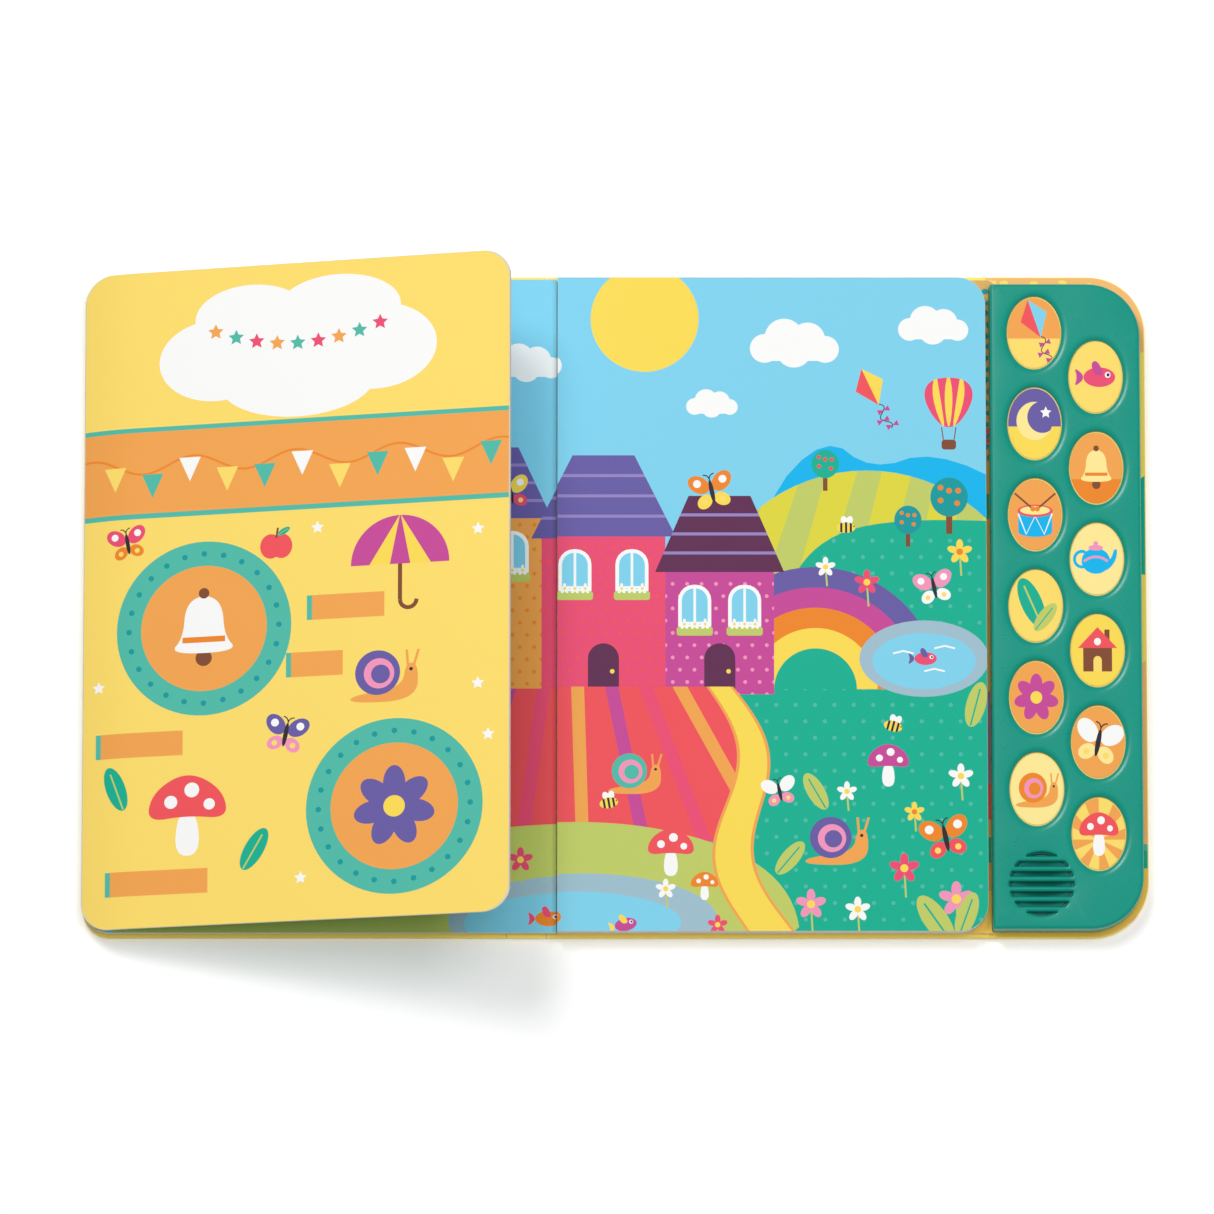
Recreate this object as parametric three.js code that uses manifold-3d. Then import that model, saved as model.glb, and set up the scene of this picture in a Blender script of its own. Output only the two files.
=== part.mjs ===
// Open board book with a sound module beside its pages.
// Millimetres, +Z up. The origin is on the table under the gutter, halfway up the book;
// +X runs from the gutter to the sound module, +Y to the head of the book.
import * as THREE from 'three';
import { mergeVertices } from 'three/addons/utils/BufferGeometryUtils.js';
import Module from 'manifold-3d';

const wasm = await Module();
wasm.setup();

// Boards and pages
const coverHeight = 260;
const coverThick = 2.5;
const coverCorner = 22;
const backLeft = -3.9;
const backRight = 228.5;
const spineWidth = 15;
const hingeGap = 0.3;
const frontWidth = 163.5;
const linerThick = 0.35;
const linerInset = 0.3;
const leafThick = 1.45;
const leafSeam = 0.2;
const seamDepth = 0.35;
const pageMargin = 1.5;
const pageCorner = 11;
const gutterGap = 0.3;
const rightLeaves = 4;
const pageFore = 166.4;
const lastLeafFore = 171;
const turnedLeaves = 1;
const turnedClearance = 0.3;

// Raised flap of the folded leaf
const foldX = -183.4;
const flapLength = 175;
const flapSlope = 17.9;
const flapRootSlope = 33;
const flapBendLength = 27;
const flapSteps = 14;
const foldRadius = 2.4;

// Sound module housing
const moduleLeft = 168.1;
const moduleRight = 226.3;
const moduleHeadMargin = 4.4;
const moduleTailMargin = 2.1;
const moduleTop = 12;
const moduleCorner = 20.5;
const moduleSmallCorner = 0.8;
const topEdgeRound = 1.2;
const wall = 1.4;
const skin = 1.5;
const pageGap = 0.3;

// Picture buttons
const buttonColumns = [185.3, 209.1];
const buttonHeadInsets = [19.3, 36.8];
const buttonPitch = 35.9;
const buttonsPerColumn = 6;
const windowWide = 21.2;
const windowTall = 28.9;
const rimRound = 1.4;
const ovalSegments = 30;
const buttonFit = 0.35;
const buttonRecess = 1.5;
const buttonTravel = 0.6;
const flangeThick = 1;
const flangeReach = 0.9;
const flangeGap = 0.3;

// Speaker grille and speaker
const grilleX = 186.9;
const grilleTailInset = 17.6;
const grilleRadius = 12.4;
const ribCount = 6;
const ribPitch = 3.93;
const ribWide = 2.1;
const ribDrop = 0.15;
const speakerRadius = 14;
const magnetRadius = 7;

// Inside the module
const trayThick = 1.2;
const trayFit = 0.2;
const boardThick = 1;
const matThick = 0.6;
const pressClearance = 0.2;
const domeRadius = 3.2;
const cellRadius = 5.8;
const cellThick = 3.05;
const cellPitch = 12.2;
const cellX = 203;
const cellHeadInset = 117.6;
const wellWall = 1;
const doorThick = 1;
const doorRise = 0.5;

const coverHalf = coverHeight / 2;
const pageHalf = coverHalf - pageMargin;
const pageHeight = 2 * pageHalf;
const moduleHead = coverHalf - moduleHeadMargin;
const moduleTail = -coverHalf + moduleTailMargin;
const grilleY = moduleTail + grilleTailInset;
const cellMidY = moduleHead - cellHeadInset;
const linerTop = coverThick + linerThick;
const rightTop = linerTop + (rightLeaves + 1) * leafThick;
const turnedBottom = coverThick + turnedClearance;
const turnedTop = turnedBottom + turnedLeaves * leafThick;
const leftTop = turnedTop + leafThick;
const skinBottom = moduleTop - skin;
const trayTop = linerTop + trayThick;

// Turns a three.js geometry into a solid that can be joined and cut
function solid(geometry) {
  const bare = geometry.index ? geometry.toNonIndexed() : geometry;
  bare.deleteAttribute('normal');
  bare.deleteAttribute('uv');
  const welded = mergeVertices(bare, 1e-4);
  const mesh = new wasm.Mesh({
    numProp: 3,
    vertProperties: new Float32Array(welded.attributes.position.array),
    triVerts: new Uint32Array(welded.index.array),
  });
  mesh.merge();
  return new wasm.Manifold(mesh);
}

// Gives a solid back as a named mesh with its material
const group = new THREE.Group();
group.name = 'sound_book';

function keep(name, body, color, roughness, metalness = 0) {
  const mesh = body.getMesh();
  const geometry = new THREE.BufferGeometry();
  const points = new Float32Array(mesh.vertProperties);
  geometry.setAttribute('position', new THREE.BufferAttribute(points, 3));
  geometry.setIndex(new THREE.BufferAttribute(new Uint32Array(mesh.triVerts), 1));
  geometry.computeVertexNormals();
  const material = new THREE.MeshStandardMaterial({ color, roughness, metalness });
  const part = new THREE.Mesh(geometry, material);
  part.name = name;
  group.add(part);
}

// A flat outline with a radius of its own on each corner, in the order
// tail left, tail right, head right, head left
function outline(x0, x1, y0, y1, radii) {
  const [a, b, c, d] = radii;
  const shape = new THREE.Shape();
  shape.moveTo(x0 + a, y0);
  shape.lineTo(x1 - b, y0);
  if (b) shape.absarc(x1 - b, y0 + b, b, -Math.PI / 2, 0, false);
  shape.lineTo(x1, y1 - c);
  if (c) shape.absarc(x1 - c, y1 - c, c, 0, Math.PI / 2, false);
  shape.lineTo(x0 + d, y1);
  if (d) shape.absarc(x0 + d, y1 - d, d, Math.PI / 2, Math.PI, false);
  shape.lineTo(x0, y0 + a);
  if (a) shape.absarc(x0 + a, y0 + a, a, Math.PI, Math.PI * 1.5, false);
  return shape;
}

function plate(shape, z0, z1, curveSegments = 10) {
  const options = { depth: z1 - z0, bevelEnabled: false, curveSegments };
  const geometry = new THREE.ExtrudeGeometry(shape, options);
  geometry.translate(0, 0, z0);
  return solid(geometry);
}

function block(x0, x1, y0, y1, z0, z1) {
  const geometry = new THREE.BoxGeometry(x1 - x0, y1 - y0, z1 - z0);
  geometry.translate((x0 + x1) / 2, (y0 + y1) / 2, (z0 + z1) / 2);
  return solid(geometry);
}

// A turned solid about an upright axis through x, y, from pairs of radius and height,
// stretched along Y by the given factor
function turned(pairs, x, y, segments = 32, stretch = 1) {
  const profile = pairs.map(([r, z]) => new THREE.Vector2(r, z));
  const geometry = new THREE.LatheGeometry(profile, segments);
  geometry.rotateX(Math.PI / 2);
  geometry.scale(1, stretch, 1);
  geometry.translate(x, y, 0);
  return solid(geometry);
}

function disc(x, y, radius, z0, z1, segments = 32) {
  return turned([[0, z0], [radius, z0], [radius, z1], [0, z1]], x, y, segments);
}

// Back cover, spine and front cover: boards wrapped in printed paper
const batteryLength = 2 * cellPitch + 2 * cellRadius;
const wellHalfX = cellRadius + 0.4;
const wellTail = cellMidY - batteryLength / 2 - 0.4;
const wellHead = cellMidY + batteryLength / 2 + 0.4;
const doorEnd = 9;
const doorHalfX = wellHalfX + wellWall;
const doorTail = wellTail - wellWall;
const doorHead = wellHead + doorEnd;
const windowFit = 0.3;
const rimWall = 1.2;
const rimHalfX = doorHalfX + 0.3 + rimWall;
const rimTail = doorTail - 0.3 - rimWall;
const rimHead = doorHead + 0.3 + rimWall;

function batteryWindow(z0, z1) {
  return block(
    cellX - rimHalfX - windowFit,
    cellX + rimHalfX + windowFit,
    rimTail - windowFit,
    rimHead + windowFit,
    z0,
    z1,
  );
}

const backShape = outline(backLeft, backRight, -coverHalf, coverHalf, [0, coverCorner, coverCorner, 0]);
const backBoard = plate(backShape, 0, coverThick).subtract(batteryWindow(-1, coverThick + 1));
keep('back_cover', backBoard, '#f4c96a', 0.55);

const linerShape = outline(
  gutterGap / 2,
  backRight - linerInset,
  -coverHalf + linerInset,
  coverHalf - linerInset,
  [0, coverCorner - linerInset, coverCorner - linerInset, 0],
);
const liner = plate(linerShape, coverThick, linerTop).subtract(batteryWindow(0, linerTop + 1));
keep('back_liner', liner, '#f6c680', 0.6);

const spineRight = backLeft - hingeGap;
const spineLeft = spineRight - spineWidth;
const spineShape = outline(spineLeft, spineRight, -coverHalf, coverHalf, [0, 0, 0, 0]);
keep('spine', plate(spineShape, 0, coverThick), '#f4c96a', 0.55);

const frontRight = spineLeft - hingeGap;
const frontLeft = frontRight - frontWidth;
const frontShape = outline(frontLeft, frontRight, -coverHalf, coverHalf, [pageCorner, 0, 0, pageCorner]);
keep('front_cover', plate(frontShape, 0, coverThick), '#f4c96a', 0.55);

// A block of leaves: full leaves with thin seams drawn in between them
function leaves(x0, x1, radii, z0, count, insets) {
  const [left, right] = insets;
  let stack = null;
  for (let i = 0; i < count; i += 1) {
    const low = z0 + i * leafThick;
    const high = low + leafThick;
    const full = outline(x0, x1, -pageHalf, pageHalf, radii);
    const seamShape = outline(
      x0 + left,
      x1 - right,
      -pageHalf + seamDepth,
      pageHalf - seamDepth,
      radii,
    );
    const topOfLeaf = i === count - 1 ? high : high - leafSeam;
    const leaf = plate(full, low, topOfLeaf);
    const seam = plate(seamShape, low, high);
    stack = stack ? stack.add(leaf).add(seam) : leaf.add(seam);
  }
  return stack;
}

// Pages to the right of the gutter; the last leaf is wider and passes round the module
const rightRadii = [0, pageCorner, pageCorner, 0];
const lastRadii = [0, 4, 4, 0];
const lastLeaf = leaves(gutterGap / 2, lastLeafFore, lastRadii, linerTop, 1, [0, seamDepth]);
const upperLeaves = leaves(
  gutterGap / 2,
  pageFore,
  rightRadii,
  linerTop + leafThick,
  rightLeaves,
  [0, seamDepth],
);
const moduleNotch = block(
  moduleLeft - pageGap,
  backRight,
  moduleTail - pageGap,
  moduleHead + pageGap,
  linerTop - 1,
  moduleTop,
);
const lastSeam = block(
  pageFore - seamDepth,
  lastLeafFore + 1,
  -coverHalf,
  coverHalf,
  linerTop + leafThick - leafSeam / 2,
  linerTop + leafThick + leafSeam,
);
const rightPages = lastLeaf.add(upperLeaves).subtract(moduleNotch).subtract(lastSeam);
keep('right_pages', rightPages, '#f3f1ea', 0.5);

// Turned leaves on the left
const leftRadii = [pageCorner, 0, 0, pageCorner];
const turnedStack = leaves(foldX, -gutterGap / 2, leftRadii, turnedBottom, turnedLeaves, [seamDepth, 0]);
keep('turned_pages', turnedStack, '#f3f1ea', 0.5);

// Folded leaf on the left: a flat panel and its raised flap, one sheet of card
const degrees = Math.PI / 180;
const flapLine = [];
let flapX = foldX + 0.9;
let flapZ = leftTop + 0.35;
let travelled = 0;
flapLine.push([flapX, flapZ]);
const nearStep = flapBendLength / (flapSteps - 2);
for (let i = 0; i < flapSteps; i += 1) {
  const inBend = i < flapSteps - 2;
  const step = inBend ? nearStep : (flapLength - flapBendLength) / 2;
  const along = Math.min(1, (travelled + step / 2) / flapBendLength);
  const ease = (1 + Math.cos(Math.PI * along)) / 2;
  const slope = (flapSlope + (flapRootSlope - flapSlope) * ease) * degrees;
  flapX += step * Math.cos(slope);
  flapZ += step * Math.sin(slope);
  travelled += step;
  flapLine.push([flapX, flapZ]);
}

// The sheet's two faces, one leaf thickness apart
const upperFace = [];
const lowerFace = [];
flapLine.forEach(([x, z], i) => {
  const before = flapLine[Math.max(0, i - 1)];
  const after = flapLine[Math.min(flapLine.length - 1, i + 1)];
  const length = Math.hypot(after[0] - before[0], after[1] - before[1]);
  const nx = -(after[1] - before[1]) / length;
  const nz = (after[0] - before[0]) / length;
  lowerFace.push([x, z]);
  upperFace.push([x + nx * leafThick, z + nz * leafThick]);
});
const flapProfile = new THREE.Shape();
flapProfile.moveTo(foldX, turnedTop + 0.4);
flapProfile.lineTo(foldX + foldRadius, turnedTop);
flapProfile.lineTo(foldX + foldRadius * 2, turnedTop);
flapProfile.lineTo(foldX + foldRadius * 2, leftTop);
flapProfile.lineTo(foldX + foldRadius, leftTop);
lowerFace.slice(1).forEach(([x, z]) => flapProfile.lineTo(x, z));
upperFace.slice().reverse().slice(0, -1).forEach(([x, z]) => flapProfile.lineTo(x, z));
flapProfile.lineTo(foldX + 0.35, leftTop + 1.6);
flapProfile.lineTo(foldX, leftTop + 0.7);
const flapGeometry = new THREE.ExtrudeGeometry(flapProfile, { depth: pageHeight, bevelEnabled: false });
flapGeometry.rotateX(Math.PI / 2);
flapGeometry.translate(0, pageHalf, 0);
const flapEnd = upperFace[upperFace.length - 1][0] + leafThick * 0.4;
const flapRadii = [pageCorner, pageCorner, pageCorner, pageCorner];
const flapTrim = plate(outline(foldX, flapEnd, -pageHalf, pageHalf, flapRadii), turnedTop - 1, 90);
const flap = solid(flapGeometry).intersect(flapTrim);
const panelShape = outline(foldX, -gutterGap / 2, -pageHalf, pageHalf, leftRadii);
const panelTrim = block(foldX + foldRadius, 1, -coverHalf, coverHalf, turnedTop - 1, leftTop + 1);
const panel = plate(panelShape, turnedTop, leftTop).intersect(panelTrim);
keep('folded_leaf', flap.add(panel), '#fbe07a', 0.5);

// Front shell of the sound module: one moulding with windows and a grille
const moduleRadii = [moduleSmallCorner, moduleCorner, moduleCorner, moduleSmallCorner];

function moduleLayer(inset, z0, z1) {
  const small = Math.max(0.2, moduleSmallCorner - inset);
  const radii = [small, moduleCorner - inset, moduleCorner - inset, small];
  const shape = outline(
    moduleLeft + inset,
    moduleRight - inset,
    moduleTail + inset,
    moduleHead - inset,
    radii,
  );
  return plate(shape, z0, z1, 12);
}

const roundSteps = 2;
const moduleShape = outline(moduleLeft, moduleRight, moduleTail, moduleHead, moduleRadii);
const bevelled = new THREE.ExtrudeGeometry(
  outline(
    moduleLeft + topEdgeRound,
    moduleRight - topEdgeRound,
    moduleTail + topEdgeRound,
    moduleHead - topEdgeRound,
    [0.2, moduleCorner - topEdgeRound, moduleCorner - topEdgeRound, 0.2],
  ),
  {
    depth: moduleTop - linerTop - topEdgeRound,
    bevelEnabled: true,
    bevelThickness: topEdgeRound,
    bevelSize: topEdgeRound,
    bevelSegments: roundSteps,
    curveSegments: 12,
  },
);
bevelled.translate(0, 0, linerTop);
const lowerCut = block(
  moduleLeft - 5,
  moduleRight + 5,
  moduleTail - 5,
  moduleHead + 5,
  linerTop - 9,
  linerTop,
);
let frontShell = solid(bevelled).subtract(lowerCut);
const lowBand = plate(moduleShape, linerTop, linerTop + topEdgeRound, 12);
frontShell = frontShell.intersect(lowBand.add(moduleLayer(0, linerTop, moduleTop + 1)));
frontShell = frontShell.subtract(moduleLayer(wall, linerTop - 1, skinBottom));

const windowRadius = windowWide / 2;
const windowStretch = windowTall / windowWide;
const buttonSpots = [];
buttonColumns.forEach((x, column) => {
  for (let row = 0; row < buttonsPerColumn; row += 1) {
    buttonSpots.push([x, moduleHead - buttonHeadInsets[column] - row * buttonPitch]);
  }
});
const rimPairs = [
  [0, skinBottom - 1],
  [windowRadius, skinBottom - 1],
  [windowRadius, moduleTop - rimRound],
  [windowRadius + rimRound * 0.3, moduleTop - rimRound * 0.3],
  [windowRadius + rimRound, moduleTop],
  [windowRadius + rimRound, moduleTop + 1],
  [0, moduleTop + 1],
];
for (const [x, y] of buttonSpots) {
  frontShell = frontShell.subtract(turned(rimPairs, x, y, ovalSegments, windowStretch));
}
let grille = disc(grilleX, grilleY, grilleRadius, skinBottom - 1, moduleTop + 1, 40);
for (let i = 0; i < ribCount; i += 1) {
  const ribY = grilleY + (i - (ribCount - 1) / 2) * ribPitch;
  const rib = block(
    grilleX - grilleRadius - 1,
    grilleX + grilleRadius + 1,
    ribY - ribWide / 2,
    ribY + ribWide / 2,
    skinBottom - 2,
    moduleTop - ribDrop,
  );
  grille = grille.subtract(rib);
}
frontShell = frontShell.subtract(grille);
keep('module_front_shell', frontShell, '#14a08d', 0.35);

// Back tray of the module with the battery well that fills the cover's window
const trayShape = outline(
  moduleLeft + wall + trayFit,
  moduleRight - wall - trayFit,
  moduleTail + wall + trayFit,
  moduleHead - wall - trayFit,
  [0.2, moduleCorner - wall - trayFit, moduleCorner - wall - trayFit, 0.2],
);
const cellBottom = doorRise + doorThick + 0.3;
const cellTop = cellBottom + cellThick;
const wellRoofBottom = cellTop + 0.5;
const wellRoofTop = wellRoofBottom + 0.9;
let tray = plate(trayShape, linerTop, trayTop);
tray = tray.add(block(cellX - rimHalfX, cellX + rimHalfX, rimTail, rimHead, 0.2, trayTop));
tray = tray.add(
  block(
    cellX - doorHalfX,
    cellX + doorHalfX,
    doorTail,
    doorHead,
    linerTop,
    wellRoofTop,
  ),
);
const doorPocket = block(
  cellX - doorHalfX - 0.3,
  cellX + doorHalfX + 0.3,
  doorTail - 0.3,
  doorHead + 0.3,
  -1,
  doorRise + doorThick,
);
const wellPocket = block(
  cellX - wellHalfX,
  cellX + wellHalfX,
  wellTail,
  wellHead,
  -1,
  wellRoofBottom,
);
const screwY = wellHead + doorEnd / 2 + 0.5;
const screwRadius = 0.8;
const screwHole = disc(cellX, screwY, screwRadius + 0.05, -1, wellRoofTop - 0.9, 16);
tray = tray.subtract(doorPocket).subtract(wellPocket).subtract(screwHole);
keep('module_back_shell', tray, '#12806f', 0.5);

// Battery door with its captive screw
const doorHole = disc(cellX, screwY, screwRadius + 0.2, -1, 4, 16);
const doorSink = disc(cellX, screwY, 2.1, -1, doorRise + 0.55, 20);
const doorBody = block(
  cellX - doorHalfX,
  cellX + doorHalfX,
  doorTail,
  doorHead,
  doorRise,
  doorRise + doorThick,
);
keep('battery_door', doorBody.subtract(doorHole).subtract(doorSink), '#12806f', 0.5);
const screwPairs = [
  [0, doorRise + 0.05],
  [1.7, doorRise + 0.05],
  [1.9, doorRise + 0.55],
  [screwRadius, doorRise + 0.55],
  [screwRadius, 4.6],
  [0, 5.2],
];
const crossA = block(cellX - 1, cellX + 1, screwY - 0.2, screwY + 0.2, -1, doorRise + 0.3);
const crossB = block(cellX - 0.2, cellX + 0.2, screwY - 1, screwY + 1, -1, doorRise + 0.3);
const screwBody = turned(screwPairs, cellX, screwY, 20).subtract(crossA).subtract(crossB);
keep('battery_door_screw', screwBody, '#9a9a98', 0.35, 1);

// Three button cells with their contact strips
for (let i = 0; i < 3; i += 1) {
  const y = cellMidY + (i - 1) * cellPitch;
  const cellPairs = [
    [0, cellBottom],
    [cellRadius - 1.3, cellBottom],
    [cellRadius - 1.1, cellBottom + 0.35],
    [cellRadius - 0.3, cellBottom + 0.35],
    [cellRadius, cellBottom + 0.65],
    [cellRadius, cellTop],
    [0, cellTop],
  ];
  keep(`battery_${i + 1}`, turned(cellPairs, cellX, y, 28), '#c9c9c6', 0.3, 1);
}
const stripHalf = 2;
const stripThick = 0.25;

function strip(name, y0, y1, z0) {
  const shape = outline(cellX - stripHalf, cellX + stripHalf, y0, y1, [1, 1, 1, 1]);
  keep(name, plate(shape, z0, z0 + stripThick, 4), '#b9bab8', 0.35, 1);
}

const firstCell = cellMidY - cellPitch;
const lastCell = cellMidY + cellPitch;
strip('contact_bridge_head', cellMidY - 3, lastCell + 3, cellTop);
strip('contact_minus', firstCell - 4, firstCell + 3, cellTop);
strip('contact_bridge_tail', firstCell - 3, cellMidY + 3, cellBottom - stripThick);
strip('contact_plus', lastCell - 3, lastCell + 4, cellBottom - stripThick);

// Circuit board, its chip under a drop of resin, a capacitor and the rubber dome mat
const boardBottom = wellRoofTop;
const boardTop = boardBottom + boardThick;
const boardInset = wall + 1.1;
const speakerRoom = 1;
const boardTail = grilleY + speakerRadius + speakerRoom;
const boardCorner = moduleCorner - boardInset;
const boardShape = outline(
  moduleLeft + boardInset,
  moduleRight - boardInset,
  boardTail,
  moduleHead - boardInset,
  [1, 3, boardCorner, 1],
);
keep('circuit_board', plate(boardShape, boardBottom, boardTop, 8), '#3f6b3a', 0.6);
const chipX = 182;
const chipY = boardTail + 43.4;
const chipPairs = [
  [0, boardBottom - 1.4],
  [2, boardBottom - 1.3],
  [3.6, boardBottom - 0.9],
  [4.4, boardBottom - 0.3],
  [4.5, boardBottom],
  [0, boardBottom],
];
keep('sound_chip', turned(chipPairs, chipX, chipY, 24), '#1d1d1f', 0.4);
const capacitorX = 192.6;
const capacitorLong = 3.2;
const capacitorWide = 2;
const capacitor = block(
  capacitorX - capacitorLong / 2,
  capacitorX + capacitorLong / 2,
  chipY - 8,
  chipY - 8 + capacitorWide,
  boardBottom - 1.3,
  boardBottom,
);
keep('board_capacitor', capacitor, '#a98b5c', 0.5);

const matInset = boardInset + 0.8;
const matShape = outline(
  moduleLeft + matInset,
  moduleRight - matInset,
  boardTail + 0.5,
  moduleHead - matInset,
  [1, 2.5, moduleCorner - matInset, 1],
);
const matTop = boardTop + matThick;
const flangeTop = skinBottom - flangeGap;
const flangeBottom = flangeTop - flangeThick;
const domeTop = flangeBottom - buttonTravel - pressClearance;
let mat = plate(matShape, boardTop, matTop, 8);
const domePairs = [
  [0, matTop - 0.3],
  [domeRadius, matTop - 0.3],
  [domeRadius, matTop],
  [domeRadius * 0.6, domeTop],
  [0, domeTop],
];
for (const [x, y] of buttonSpots) {
  mat = mat.add(turned(domePairs, x, y, 12));
}
keep('dome_mat', mat, '#8d8f92', 0.8);

// Twelve picture buttons: an oval cap with a flange under the skin
const capRadius = windowRadius - buttonFit;
const capTop = moduleTop - buttonRecess;
const capPairs = [
  [0, flangeBottom],
  [windowRadius + flangeReach, flangeBottom],
  [windowRadius + flangeReach, flangeTop],
  [capRadius, flangeTop],
  [capRadius, capTop - 0.15],
  [capRadius - 0.2, capTop],
  [0, capTop],
];
buttonSpots.forEach(([x, y], i) => {
  const name = `button_${String(i + 1).padStart(2, '0')}`;
  keep(name, turned(capPairs, x, y, ovalSegments, windowStretch), '#fbe07a', 0.3);
});

// Small speaker behind the grille
const gasketThick = 0.5;
const frameTop = skinBottom - gasketThick;
const magnetBottom = trayTop;
const magnetTop = magnetBottom + 2.2;
const framePairs = [
  [magnetRadius - 2, magnetTop],
  [magnetRadius + 1, magnetTop],
  [speakerRadius - 1.2, frameTop - 1],
  [speakerRadius, frameTop - 1],
  [speakerRadius, frameTop],
  [speakerRadius - 2.2, frameTop],
  [speakerRadius - 2.2, frameTop - 0.6],
  [magnetRadius, magnetTop + 0.7],
  [magnetRadius - 2, magnetTop + 0.7],
  [magnetRadius - 2, magnetTop],
];
keep('speaker_frame', turned(framePairs, grilleX, grilleY, 28), '#8f9193', 0.4, 1);
keep('speaker_magnet', disc(grilleX, grilleY, magnetRadius, magnetBottom, magnetTop, 32), '#6c6d70', 0.5, 1);
const conePairs = [
  [0, frameTop - 1.7],
  [3, frameTop - 2.1],
  [4.2, frameTop - 2.1],
  [speakerRadius - 4.5, frameTop - 0.5],
  [speakerRadius - 3.4, frameTop - 0.15],
  [speakerRadius - 2.35, frameTop - 0.4],
  [speakerRadius - 2.35, frameTop - 0.1],
  [speakerRadius - 3.4, frameTop + 0.15],
  [speakerRadius - 4.7, frameTop - 0.2],
  [4.1, frameTop - 1.8],
  [3, frameTop - 1.8],
  [0, frameTop - 1.4],
];
keep('speaker_cone', turned(conePairs, grilleX, grilleY, 24), '#26262a', 0.8);
const gasketPairs = [
  [speakerRadius - 2, frameTop],
  [speakerRadius, frameTop],
  [speakerRadius, skinBottom],
  [speakerRadius - 2, skinBottom],
  [speakerRadius - 2, frameTop],
];
keep('speaker_gasket', turned(gasketPairs, grilleX, grilleY, 28), '#3a3a3c', 0.9);

// Two thin wires from the speaker to the circuit board
function wire(name, x, color) {
  const path = new THREE.CatmullRomCurve3([
    new THREE.Vector3(x, grilleY + speakerRadius - 0.6, trayTop + 0.55),
    new THREE.Vector3(x - 0.4, grilleY + speakerRadius + 1, trayTop + 0.55),
    new THREE.Vector3(x - 0.4, boardTail + 1.5, trayTop + 0.55),
    new THREE.Vector3(x, boardTail + 4, trayTop + 0.6),
  ]);
  const section = new THREE.Shape();
  section.absarc(0, 0, 0.45, 0, Math.PI * 2, false);
  const options = { steps: 8, extrudePath: path, curveSegments: 4, bevelEnabled: false };
  keep(name, solid(new THREE.ExtrudeGeometry(section, options)), color, 0.4);
}

const wireSpread = 2.3;
wire('speaker_wire_red', grilleX + wireSpread, '#c22a2a');
wire('speaker_wire_black', grilleX - wireSpread, '#222224');

export default group;
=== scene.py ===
import bpy
import math
import numpy as np
from mathutils.geometry import delaunay_2d_cdt
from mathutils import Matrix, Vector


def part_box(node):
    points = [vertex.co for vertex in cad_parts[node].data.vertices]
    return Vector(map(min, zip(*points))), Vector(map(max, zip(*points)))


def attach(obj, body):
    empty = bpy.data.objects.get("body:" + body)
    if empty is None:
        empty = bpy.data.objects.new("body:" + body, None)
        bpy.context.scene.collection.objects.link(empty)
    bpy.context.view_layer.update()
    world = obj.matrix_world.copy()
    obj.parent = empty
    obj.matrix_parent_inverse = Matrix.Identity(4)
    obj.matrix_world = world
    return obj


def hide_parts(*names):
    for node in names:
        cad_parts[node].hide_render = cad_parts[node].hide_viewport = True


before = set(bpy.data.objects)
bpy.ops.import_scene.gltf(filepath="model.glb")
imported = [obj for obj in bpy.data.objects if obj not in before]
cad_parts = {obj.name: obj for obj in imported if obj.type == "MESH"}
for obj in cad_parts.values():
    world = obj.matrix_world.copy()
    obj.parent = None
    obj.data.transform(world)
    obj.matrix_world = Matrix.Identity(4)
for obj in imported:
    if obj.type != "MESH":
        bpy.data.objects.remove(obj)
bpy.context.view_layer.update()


# Cover boards. Greyboard wrapped in printed paper under a satin film; the paper is folded
# round the edges and glued. The spine strip and the front cover lie under the left pages.
MM = 0.001


class Wire:
    """One value inside a material. Arithmetic on it adds the Math node for that step."""

    def __init__(self, tree, socket):
        self.tree = tree
        self.socket = socket

    def step(self, operation, *values):
        node = self.tree.nodes.new("ShaderNodeMath")
        node.operation = operation
        for i, value in enumerate(values):
            if isinstance(value, Wire):
                self.tree.links.new(value.socket, node.inputs[i])
            else:
                node.inputs[i].default_value = value
        return Wire(self.tree, node.outputs[0])

    def __add__(self, other):
        return self.step("ADD", self, other)

    def __radd__(self, other):
        return self.step("ADD", other, self)

    def __rsub__(self, other):
        return self.step("SUBTRACT", other, self)

    def __mul__(self, other):
        return self.step("MULTIPLY", self, other)

    def __gt__(self, other):
        return self.step("GREATER_THAN", self, other)


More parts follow.
